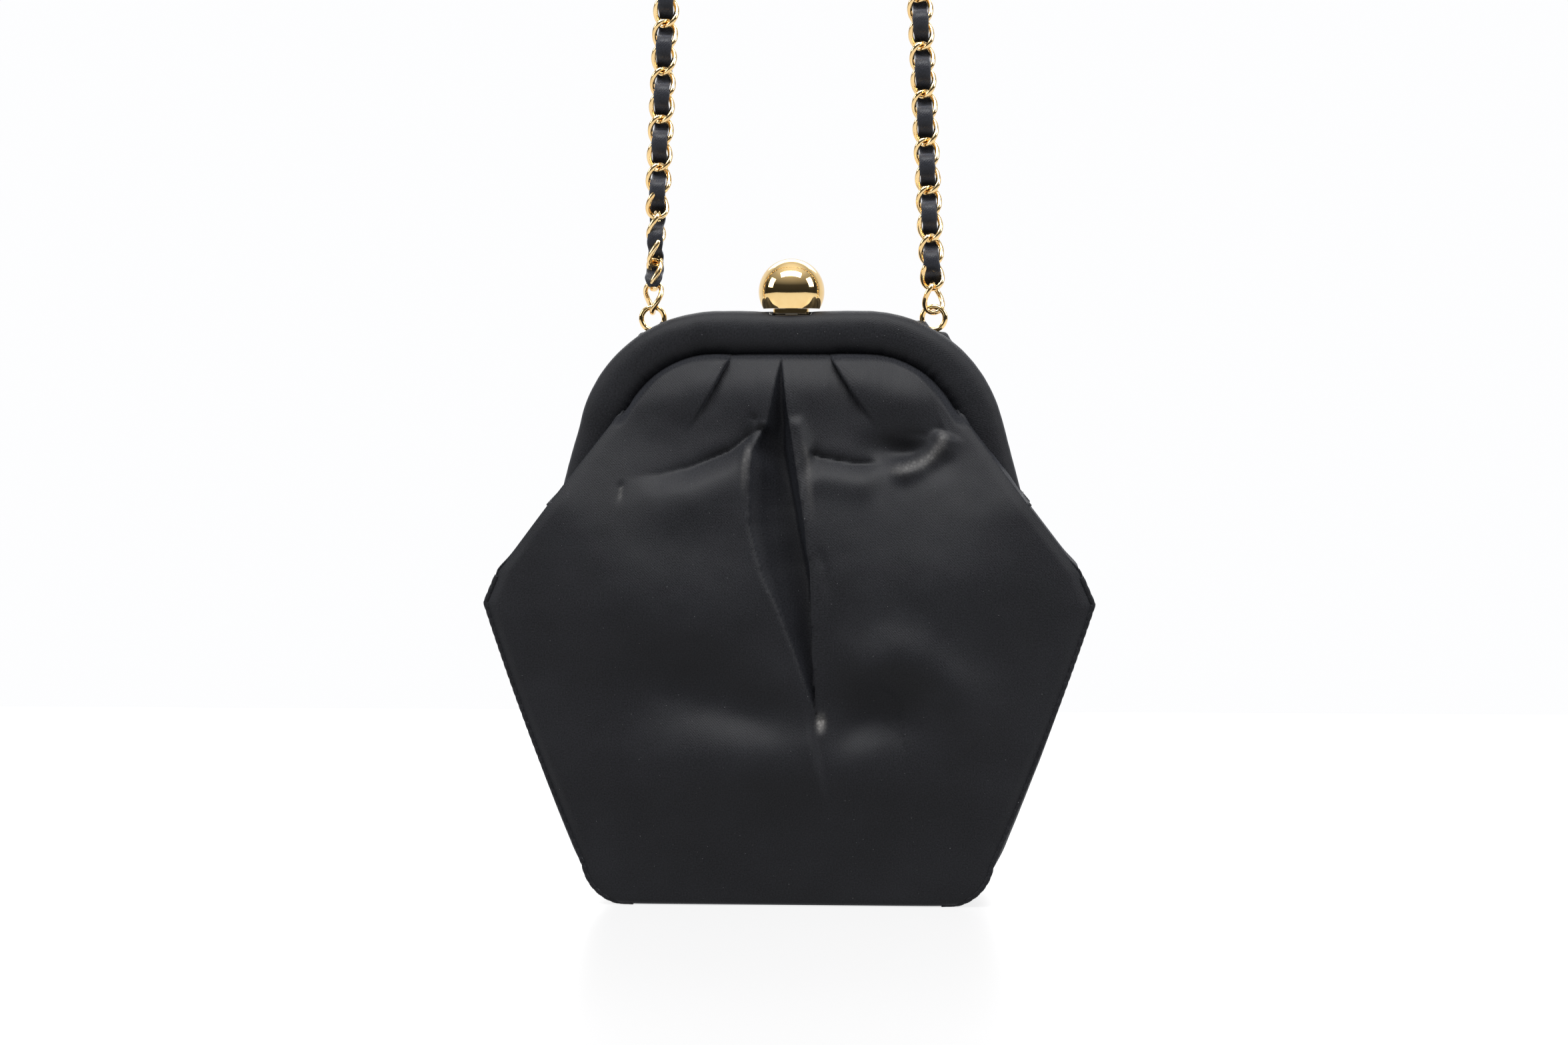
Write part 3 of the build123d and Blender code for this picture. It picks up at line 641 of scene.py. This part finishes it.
def cloth_face(name, facing, moves_of, rows, columns, wear=None):
    """One satin face of the bag, from the base to under the frame's roll. facing is -1 for the front."""
    x, z, (px, y, pz) = wall_grid(moves_of, rows, columns)
    cloth = cloth_grid(name, (px, facing * y, pz), x, z, facing > 0, SATIN)
    if wear:
        value(cloth, "wear", wear(x, z))
    return thicken(cloth, SATIN_THICK)


def shrunk(y, reach):
    """The lowest value near each point of a grid, smoothed, so that a layer laid there clears the folds."""
    for blend, axis in ((np.min, 0), (np.min, 1), (np.mean, 0), (np.mean, 1)):
        pad = [(reach, reach) if a == axis else (0, 0) for a in (0, 1)]
        tall = np.pad(y, pad, mode="edge")
        size = y.shape[axis]
        y = blend([np.take(tall, range(k, k + size), axis) for k in range(2 * reach + 1)], axis=0)
    return y


def inner_layer(name, facing, moves_of, inward, top, thickness, material):
    """A layer behind one face of the bag, such as its lining, that follows its larger folds."""
    x, z, (_, y, _) = wall_grid(moves_of, 74, 95)
    y = np.minimum(shrunk(y, 2), y) - inward
    rows = z[:, 0] <= top
    shrink = 1 - inward / np.maximum(panel_half(z), 10.0)
    x, y = (x * shrink)[rows], y[rows]
    z = np.maximum(z[rows], inward)
    y = y + 0.25 * wander(x, z, 9.0, 21.0 + facing) * ease(4.0, 20.0, z)
    layer = cloth_grid(name, (x, facing * y, z), x, z, facing > 0, material)
    return thicken(layer, thickness)


def lining_cloth(name, facing, moves_of):
    return inner_layer(name, facing, moves_of, 1.9, LINING_TOP, LINING_THICK, LINING)


# ------------------------------------------------------------------ camera, light and floor
VIEW_DISTANCE = 0.9125
VIEW_TURN = math.radians(3.3)
VIEW_HEIGHT = 0.134
VIEW_DOWN = math.radians(2.066)
VIEW_SIDE = math.radians(0.038)
FRONT_Y = -0.026
LIT_POINT = (0.0, 0.0, 0.08)
# name, place, size and power of each lamp
LAMPS = [
    ("top", (0.0, -0.50, 1.28), (1.4, 0.45), 33.0),
    ("left", (-1.00, -0.22, 0.62), (0.4, 0.5), 4.0),
    ("right", (1.00, -0.18, 0.66), (0.4, 0.5), 6.0),
    ("back", (0.0, 0.95, 0.95), (1.4, 0.5), 9.0),
]
# places along a ramp and their grey
OVERHEAD = [(0.0, 0.02), (0.5, 0.03), (0.68, 0.05), (0.88, 0.5), (1.0, 1.1)]
BEHIND = [(0.0, 0.0), (0.6, 0.02), (0.8, 0.9), (1.0, 0.95)]


def aim_camera():
    data = bpy.data.cameras.new("camera")
    data.lens, data.sensor_width = 80.0, 36.0
    data.clip_start, data.clip_end = 0.05, 20.0
    camera = bpy.data.objects.new("camera", data)
    bpy.context.scene.collection.objects.link(camera)
    right, back = math.sin(VIEW_TURN), math.cos(VIEW_TURN)
    camera.location = (VIEW_DISTANCE * right, FRONT_Y - VIEW_DISTANCE * back, VIEW_HEIGHT)
    camera.rotation_euler = (math.radians(90.0) - VIEW_DOWN, 0.0, VIEW_TURN + VIEW_SIDE)
    bpy.context.scene.camera = camera


def area_light(name, place, size, power):
    data = bpy.data.lights.new(name, "AREA")
    data.shape, data.size, data.size_y = "RECTANGLE", *size
    data.energy = power
    lamp = bpy.data.objects.new(name, data)
    bpy.context.scene.collection.objects.link(lamp)
    lamp.location = place
    lamp.rotation_euler = (Vector(LIT_POINT) - Vector(place)).to_track_quat("-Z", "Y").to_euler()


def grey_ramp(nodes, links, source, stops):
    """Grey from -1 to 1 of a direction's coordinate."""
    shift = nodes.new("ShaderNodeMath")
    shift.operation = "MULTIPLY_ADD"
    shift.inputs[1].default_value, shift.inputs[2].default_value = 0.5, 0.5
    links.new(source, shift.inputs[0])
    grey = ramp(nodes.new("ShaderNodeValToRGB"), [(place, (tone,) * 3) for place, tone in stops])
    links.new(shift.outputs[0], grey.inputs["Fac"])
    return grey.outputs["Color"]


def studio():
    """Surround that is bright overhead and behind, soft lamps, and a pale floor."""
    scene = bpy.context.scene
    scene.view_settings.view_transform = "Standard"
    world = bpy.data.worlds.new("studio")
    scene.world = world
    world.use_nodes = True
    nodes, links = world.node_tree.nodes, world.node_tree.links
    where = nodes.new("ShaderNodeTexCoord")
    parts = nodes.new("ShaderNodeSeparateXYZ")
    links.new(where.outputs["Generated"], parts.inputs[0])
    overhead = grey_ramp(nodes, links, parts.outputs["Z"], OVERHEAD)
    behind = grey_ramp(nodes, links, parts.outputs["Y"], BEHIND)
    light = nodes["Background"]
    both = nodes.new("ShaderNodeMixRGB")
    both.blend_type = "LIGHTEN"
    both.inputs["Fac"].default_value = 1.0
    links.new(overhead, both.inputs["Color1"])
    links.new(behind, both.inputs["Color2"])
    links.new(both.outputs["Color"], light.inputs["Color"])
    white = nodes.new("ShaderNodeBackground")
    white.inputs["Color"].default_value = (0.985, 0.987, 0.995, 1.0)
    choose = nodes.new("ShaderNodeMixShader")
    path = nodes.new("ShaderNodeLightPath")
    links.new(path.outputs["Is Camera Ray"], choose.inputs["Fac"])
    links.new(light.outputs[0], choose.inputs[1])
    links.new(white.outputs[0], choose.inputs[2])
    links.new(choose.outputs[0], nodes["World Output"].inputs["Surface"])
    for lamp in LAMPS:
        area_light(*lamp)
    mesh = bpy.data.meshes.new("floor")
    corners = [(x, y, 0.0) for x, y in ((-2.5, -1.9), (2.5, -1.9), (2.5, 0.545), (-2.5, 0.545))]
    mesh.from_pydata(corners, [], [(0, 1, 2, 3)])
    floor = bpy.data.objects.new("floor", mesh)
    scene.collection.objects.link(floor)
    floor.location.z = -0.0002
    mat, add, links, shader = node_material("floor_white")
    cloud = add("TexNoise")
    cloud.inputs["Scale"].default_value = 3.0
    tone = ramp(add("ValToRGB"), [(0.3, (0.075, 0.075, 0.076)), (0.7, (0.09, 0.09, 0.091))])
    links.new(cloud.outputs["Fac"], tone.inputs["Fac"])
    links.new(tone.outputs["Color"], shader.inputs["Base Color"])
    shader.inputs["Roughness"].default_value = 0.3
    shader.inputs["Specular IOR Level"].default_value = 0.25
    shader.inputs["Emission Color"].default_value = (1.0, 1.0, 1.0, 1.0)
    shader.inputs["Emission Strength"].default_value = 0.79
    mesh.materials.append(mat)


aim_camera()


# ------------------------------------------------------------------ strap: the ribbon's route comes first
ROUTE = [
    (-0.0380, 0.005, 0.1583), (-0.0362, 0.005, 0.1970), (-0.0344, 0.005, 0.2360), (-0.0326, 0.005, 0.2750),
    (-0.0308, 0.005, 0.3140), (-0.0292, 0.005, 0.3480), (-0.0284, 0.005, 0.3790), (-0.0117, 0.005, 0.3959),
    (0.0117, 0.005, 0.3959), (0.0284, 0.005, 0.3790), (0.0292, 0.005, 0.3480), (0.0308, 0.005, 0.3140),
    (0.0326, 0.005, 0.2750), (0.0344, 0.005, 0.2360), (0.0362, 0.005, 0.1970), (0.0380, 0.005, 0.1583),
]
LINK_COUNT = 79
RUN_LINKS = 30
END_GAP = 2.45
LINK_HALF = (2.85, 4.0)
LINK_TWIST = math.radians(45.0)
LINK_WIRE = 0.7
RIBBON_HALF = 2.0
RIBBON_END = 5.4


def strap_line():
    """Points along the strap, read from its NURBS spline, with the length up to each, in millimetres."""
    curve = bpy.data.curves.new("strap_route", "CURVE")
    curve.dimensions = "3D"
    curve.resolution_u = 24
    spline = curve.splines.new("NURBS")
    spline.points.add(len(ROUTE) - 1)
    for point, place in zip(spline.points, ROUTE):
        point.co = (*place, 1.0)
    spline.order_u = 3
    spline.use_endpoint_u = True
    holder = bpy.data.objects.new("strap_route", curve)
    bpy.context.scene.collection.objects.link(holder)
    mesh = bpy.data.meshes.new_from_object(holder)
    points = np.array([v.co for v in mesh.vertices], float) / MM
    bpy.data.objects.remove(holder)
    bpy.data.meshes.remove(mesh)
    bpy.data.curves.remove(curve)
    return points, length_along(points)


STRAP, STRAP_AT = strap_line()
STRAP_LENGTH = STRAP_AT[-1]
PITCH = (STRAP_LENGTH - 2 * END_GAP) / (LINK_COUNT - 1)


def on_strap(s):
    """Place and directions (along, across, front) at a length along the strap."""
    place = np.array([np.interp(s, STRAP_AT, STRAP[:, k]) for k in range(3)])
    ahead = np.array([np.interp(min(s + 2, STRAP_LENGTH), STRAP_AT, STRAP[:, k]) for k in range(3)])
    behind = np.array([np.interp(max(s - 2, 0), STRAP_AT, STRAP[:, k]) for k in range(3)])
    along = (ahead - behind) / np.linalg.norm(ahead - behind)
    front = np.array([0.0, -1.0, 0.0])
    return place, along, np.cross(front, along), front


def chain_turn(index):
    """Turn of a link about the strap: the end links hang square in their eyes."""
    left = 130.0 * (1 - index / 6.0) if index < 6 else 0.0
    from_end = LINK_COUNT - 1 - index
    right = -45.0 * (1 - from_end / 3.0) if from_end < 3 else 0.0
    lively = 7.0 * math.sin(index * 2.3) + 4.0 * math.sin(index * 0.9 + 1.0)
    return math.radians(left + right + lively * min(1.0, from_end / 4, index / 6))


def link_line():
    """Centre line of one twisted oval link."""
    t = np.linspace(0, 2 * math.pi, 44, endpoint=False)
    x = LINK_HALF[0] * np.sign(np.cos(t)) * np.abs(np.cos(t)) ** 0.9
    z = LINK_HALF[1] * np.sign(np.sin(t)) * np.abs(np.sin(t)) ** 0.9
    turn = LINK_TWIST * z / LINK_HALF[1]
    return np.stack([x * np.cos(turn), x * np.sin(turn), z], -1)


def ring_tube(line, sides, radius):
    """A closed loop of round wire along a closed line."""
    ahead = unit(np.roll(line, -1, axis=0) - np.roll(line, 1, axis=0))
    out = line - line.mean(0)
    out = unit(out - (out * ahead).sum(1)[:, None] * ahead)
    points = (line[:, None, :] + radius * circles(out, np.cross(ahead, out), sides)).reshape(-1, 3)
    rows = grid_faces(len(line) + 1, sides, wrap=True)
    return points, [tuple(i % len(points) for i in f) for f in rows]


def chain_piece(name, node, first, last):
    base, faces = ring_tube(link_line(), 12, LINK_WIRE)
    links = []
    for index in range(first, last):
        place, along, across, front = on_strap(END_GAP + index * PITCH)
        turn = chain_turn(index)
        u = across * math.cos(turn) + front * math.sin(turn)
        v = -across * math.sin(turn) + front * math.cos(turn)
        links.append((place + base[:, :1] * u + base[:, 1:2] * v + base[:, 2:] * along, faces))
    piece = new_object(name, *joined(links), CHAIN_GOLD)
    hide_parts(node)
    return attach(piece, "strap")


def ribbon_piece():
    """Ribbon woven over one crossing of the links and under the next, with a seam along it."""
    count = 900
    across_at = np.linspace(-1, 1, 11)
    points, cloth = [], []
    for s in np.linspace(RIBBON_END, STRAP_LENGTH - RIBBON_END, count):
        place, along, across, front = on_strap(s)
        phase = math.pi * ((s - END_GAP) / PITCH - 0.5)
        swing = 2.25 * math.tanh(1.6 * math.cos(phase)) / math.tanh(1.6)
        puff = 0.5 + 0.5 * abs(math.cos(phase)) ** 0.7
        half = RIBBON_HALF * (0.86 + 0.16 * puff) + 0.08 * math.sin(s * 1.9)
        to_end = max(min(s, STRAP_LENGTH - s) - RIBBON_END, 0.0)
        half *= 0.45 + 0.55 * math.sqrt(min(to_end / 2.2, 1.0)) + 0.22 * hill(to_end - 3.6, 1.8)
        for a in across_at:
            bulge = 0.55 * puff * (1 - a * a) * (1 if swing > 0 else -1)
            bulge -= 0.16 * hill(a + 0.12, 0.10) * (swing > 0)
            wrinkle = 0.07 * math.sin(s * 3.1 + a * 2.0) * (1 - puff * 0.6)
            points.append(place + across * (a * half) + front * (swing + bulge + wrinkle))
            cloth.append((a * half, 0.0, s))
    ribbon = new_object("strap_ribbon", points, grid_faces(count, len(across_at)), RIBBON)
    weave(ribbon, cloth)
    thicken(ribbon, 0.45, 0.0)
    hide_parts("chain_ribbon")
    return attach(ribbon, "strap")


links_left = chain_piece("strap_links_left", "chain_left", 0, RUN_LINKS)
links_top = chain_piece("strap_links_top", "chain_top", RUN_LINKS, LINK_COUNT - RUN_LINKS)
links_right = chain_piece("strap_links_right", "chain_right", LINK_COUNT - RUN_LINKS, LINK_COUNT)
ribbon = ribbon_piece()

studio()

front = cloth_face("front_cloth", -1, front_moves, 192, 231, front_wear)
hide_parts("front_panel", "front_yoke")
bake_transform(front)
back = cloth_face("back_cloth", 1, back_moves, 128, 151)
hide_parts("back_panel")
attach(back, "root")
front_lining = lining_cloth("front_lining_cloth", -1, front_moves)
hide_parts("front_lining", "front_yoke_lining")
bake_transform(front_lining)
back_lining = lining_cloth("back_lining_cloth", 1, back_moves)
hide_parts("back_lining")
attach(back_lining, "root")
for side, facing, moves_of in (("front", -1, front_moves), ("back", 1, back_moves)):
    board = inner_layer(side + "_stiffener", facing, moves_of, 0.8, STIFF_TOP, 0.5, BOARD)
    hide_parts(side + "_interlining")
    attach(board, "root")


# ------------------------------------------------------------------ gussets, base, seams
def side_edge(x, z):
    """Depth of the seam where a face of the bag meets its side wall."""
    return depth(x, z) - edge_round(x, z, np.maximum(half_width(z), x))


def gusset_points(side, inward, top, columns):
    """A side wall folded inwards as a V: it puffs out beside its seams and crumples at the widest
    corner. Gives its x, y and z, and its width and length as flat cloth."""
    line = OUTLINE[OUTLINE[:, 1] <= top]
    ahead = unit(np.gradient(line, axis=0))
    out = np.stack([ahead[:, 1], -ahead[:, 0]], -1)
    v = np.linspace(-1, 1, columns)
    z = line[:, 1]
    fold = np.interp(z, [0.0, 14.0, 45.0, 79.0, 92.0, 103.0, 108.5], [0.0, 0.3, 3.0, 7.0, 6.5, 2.6, -1.3])
    shape = fold[:, None] * (1 - np.abs(v)[None, :] ** 1.25)
    flap = 2.6 * hill(z - 88.3, 2.7)[:, None] * hill(np.abs(v)[None, :] - 0.62, 0.3)
    along = (ease(4.0, 16.0, z) * (1 - ease(80.0, 86.0, z)))[:, None]
    seam = along * hill(np.abs(v)[None, :] - 0.88, 0.1)
    half = side_edge(line[:, 0], z) - inward
    y = v[None, :] * half[:, None]
    tall = np.repeat(z[:, None], columns, 1)
    rough = 0.22 * wander(tall, y, 7.0, 31.0 + side)
    rough += 0.4 * wander(tall, y * 0.6, 2.6, 37.0 + side) * hill(z - 88.0, 6.0)[:, None]
    move = ((flap + seam) * (inward < 1) + rough * (1 - np.abs(v)[None, :] ** 4) - shape - inward)
    x = line[:, :1] + out[:, :1] * move
    height = np.maximum(line[:, 1:] + out[:, 1:] * move, inward)
    return (side * x, y, height), y, np.repeat(length_along(line)[:, None], columns, 1)


def gusset(name, side, inward, top, thickness, material):
    piece = cloth_grid(name, *gusset_points(side, inward, top, 49), side < 0, material)
    thicken(piece, thickness)
    return piece


for side, word in ((1, "right"), (-1, "left")):
    wall = gusset(word + "_side_cloth", side, 0.0, GUSSET_TOP, SATIN_THICK, SATIN)
    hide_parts(word + "_gusset")
    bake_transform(wall)
    lining = gusset(word + "_side_lining", side, 1.7, GUSSET_LINING_TOP, LINING_THICK, LINING)
    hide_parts(word + "_gusset_lining")
    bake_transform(lining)


def edge_returns(name, facing):
    """Folded edges of a face's two upper diagonals, which turn back to the frame's legs."""
    heights = np.linspace(*EDGE_FOLD, 44)
    share = np.linspace(0.0, 1.0, 9)
    tall, wide = np.broadcast_arrays(heights[:, None], share[None, :])
    parts = []
    for side in (-1, 1):
        x = panel_half(heights)
        y = tucked(x, side_edge(x, heights), heights)
        stop = np.interp(heights, [105.5, 109.0, 120.0], [y[0] - 3.0, 12.0, 8.8])
        sag = 0.9 * np.sin(np.pi * share)[None, :] + 0.25 * wander(tall, 9 * wide, 4.0, 5.0 + side)
        px = x[:, None] + 0.8 * share[None, :] - sag * ease(0, 0.3, share)[None, :]
        width = (1 - 0.9 * ease(126.0, 135.0, heights))[:, None] * share[None, :]
        py = y[:, None] * (1 - width) + stop[:, None] * width
        parts.append((flat(side * px, facing * py, tall), grid_faces(44, 9, flip=side * facing > 0)))
    points, faces = joined(parts)
    piece = new_object(name, points, faces, SATIN)
    weave(piece, points[:, [1, 0, 2]])
    thicken(piece, 0.45)
    return piece


def seam_cord(name, facing):
    """Corded seams up both side edges of a face, with the stitches' small pinches."""
    line = OUTLINE[(OUTLINE[:, 1] <= SEAM_TOP) & (OUTLINE[:, 0] >= 41.0)]
    fine = np.linspace(0, len(line) - 1, len(line) * 3)
    line = np.stack([np.interp(fine, range(len(line)), line[:, k]) for k in (0, 1)], -1)
    radius = 0.78 - 0.1 * np.abs(np.sin(length_along(line) * math.pi / 2.4)) ** 6
    parts = []
    for side in (-1, 1):
        y = side_edge(line[:, 0], line[:, 1]) - 0.1
        centres = np.stack([side * (line[:, 0] - 0.25), facing * y, line[:, 1] + 0.4], -1)
        parts.append(tube(centres, np.array([0.0, 1.0, 0.0]), 12, radius))
    points, faces = joined(parts)
    piece = new_object(name, points, faces, SATIN)
    weave(piece, points[:, [2, 1, 0]])
    return piece


front_return = edge_returns("front_edge_fold", -1)
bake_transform(front_return)
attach(edge_returns("back_edge_fold", 1), "root")
front_seam = seam_cord("front_seam_cord", -1)
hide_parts("front_piping")
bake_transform(front_seam)
back_seam = seam_cord("back_seam_cord", 1)
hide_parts("back_piping")
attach(back_seam, "root")


def base_sheet(name, height, margin, dish, thickness, material, node):
    """Bottom cloth between the base seams, drawn up a little in the middle."""
    x = np.linspace(-BASE_SEAM_X - 0.4, BASE_SEAM_X + 0.4, 60)[None, :] + np.zeros((36, 1))
    v = np.linspace(-1, 1, 36)[:, None]
    y = v * (side_edge(np.abs(x), np.zeros_like(x)) - margin)
    rise = dish * (1 - v ** 2) * (1 - (x / BASE_SEAM_X) ** 4).clip(0) + 0.08 * wander(x, y, 6.0, 41.0)
    z = height + rise * (1 - v ** 8)
    sheet = cloth_grid(name, (x, y, z), x, y, height < 1, material)
    thicken(sheet, thickness)
    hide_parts(node)
    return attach(sheet, "root")


base_sheet("base_cloth", 0.25, 0.3, 0.35, 0.35, SATIN, "base_panel")
base_sheet("base_lining_cloth", 1.9, 1.4, 0.3, 0.25, LINING, "base_lining")


def pocket():
    """Flat slip pocket on the back lining, with a turned and stitched top edge."""
    x = np.linspace(-POCKET_HALF, POCKET_HALF, 81)[None, :] + np.zeros((52, 1))
    z = np.linspace(*POCKET_Z, 52)[:, None] + 0 * x
    y = depth(x, z) - 3.4 + 0.2 * wander(x, z, 11.0, 51.0)
    y -= 0.9 * hill(z - 60.5, 1.4) + 0.5 * ease(50.0, POCKET_Z[1], z) * (1 - (x / POCKET_HALF) ** 4)
    y += 0.35 * hill(np.abs(x) - 38.8, 0.8) + 0.35 * hill(z - 19.2, 0.8)
    piece = cloth_grid("inside_pocket", (x, y, z), z, x, True, LINING)
    thicken(piece, LINING_THICK)
    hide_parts("slip_pocket")
    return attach(piece, "root")


pocket()


# ------------------------------------------------------------------ the frame's satin rolls
def arch_path(step):
    """Centre line of a roll as x, z, its outward direction, and the length along it from the middle."""
    radius = FRAME_R - ROLL_HALF[1]
    leg = (SHOULDER[1] + radius * math.sin(LEG_SPLAY) - ROLL_FOOT + 3.0) / math.cos(LEG_SPLAY)
    bend = radius * (math.pi / 2 - LEG_SPLAY)
    half = SHOULDER[0] + bend + leg
    s = np.linspace(-half, half, int(2 * half / step))
    a = np.abs(s)
    angle = np.clip(math.pi / 2 - (a - SHOULDER[0]) / radius, LEG_SPLAY, math.pi / 2)
    x = np.minimum(a, SHOULDER[0]) + radius * np.cos(angle)
    z = SHOULDER[1] + radius * np.sin(angle)
    down = np.maximum(a - SHOULDER[0] - bend, 0.0)
    x = x + down * math.sin(LEG_SPLAY)
    z = z - down * math.cos(LEG_SPLAY)
    sign = np.where(s < 0, -1.0, 1.0)
    return sign * x, z, sign * np.cos(angle), np.sin(angle), s, half


def frame_roll(name, facing):
    """Padded satin sleeve of one frame half, puckered inside its shoulders and hollowed for the clasp."""
    cx, cz, nx, nz, s, half = arch_path(0.5)
    count = 56
    t = np.linspace(0, 2 * math.pi, count, endpoint=False)
    across = np.sign(np.cos(t)) * np.abs(np.cos(t)) ** ROLL_POWER
    outward = np.sign(np.sin(t)) * np.abs(np.sin(t)) ** ROLL_POWER
    grid_s = np.repeat(s[:, None], count, 1)
    around = np.repeat(np.arange(count)[None, :] * 0.62, len(s), 0)
    bend = ease(17.0, 26.0, np.abs(s)) * (1 - ease(56.0, 66.0, np.abs(s)))
    inside = np.clip(-outward, 0, 1)[None, :] ** 1.3
    pucker = 0.28 * bend[:, None] * inside * wander(grid_s * 1.6, around * 0.25, 2.3, 61.0 + facing)
    puff = 0.16 * wander(grid_s, around, 10.0, 65.0 + facing) + 0.05 * wander(grid_s, around, 2.6, 69.0)
    end = 1 - 0.03 * ease(half - 2.0, half, np.abs(s))
    a = (ROLL_HALF[0] + puff + pucker) * end[:, None]
    b = (ROLL_HALF[1] + puff + pucker) * end[:, None]
    y = facing * ROLL_MID_Y + a * across[None, :]
    x = cx[:, None] + nx[:, None] * b * outward[None, :]
    z = np.maximum(cz[:, None] + nz[:, None] * b * outward[None, :], ROLL_FOOT - 1.8)
    y = np.where(facing * y < 0.4, facing * 0.4, y)
    clasp = 1 - ease(*CLASP_HALF, np.abs(x))
    room = (facing * y < CLASP_DEPTH) & (z > CLASP_FLOOR)
    y = np.where(room, y * (1 - clasp) + facing * CLASP_DEPTH * clasp, y)
    if facing < 0:
        z = z - clasp * np.maximum(z - SEAT_Z, 0) - 0.35 * hill(x, 9.0) * ease(150.0, FRAME_TOP, z)
    if facing > 0:
        nub = hill(np.abs(np.abs(x) - EYE_X) - 2.9, 1.3) * hill(y - ROLL_MID_Y, 1.6)
        nub = nub * np.clip(outward, 0, 1)[None, :]
        x = x + nx[:, None] * 1.0 * nub
        z = z + nz[:, None] * 1.0 * nub
    faces = grid_faces(len(s), count, wrap=True) + end_caps(len(s), count)
    roll = new_object(name, flat(x, y, z), faces, SATIN)
    weave(roll, flat(around, 0 * around, grid_s))
    return roll


for facing, word, body in ((-1, "front", "front_frame"), (1, "back", "root")):
    roll = frame_roll(word + "_roll", facing)
    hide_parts(word + "_frame_cover")
    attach(roll, body)
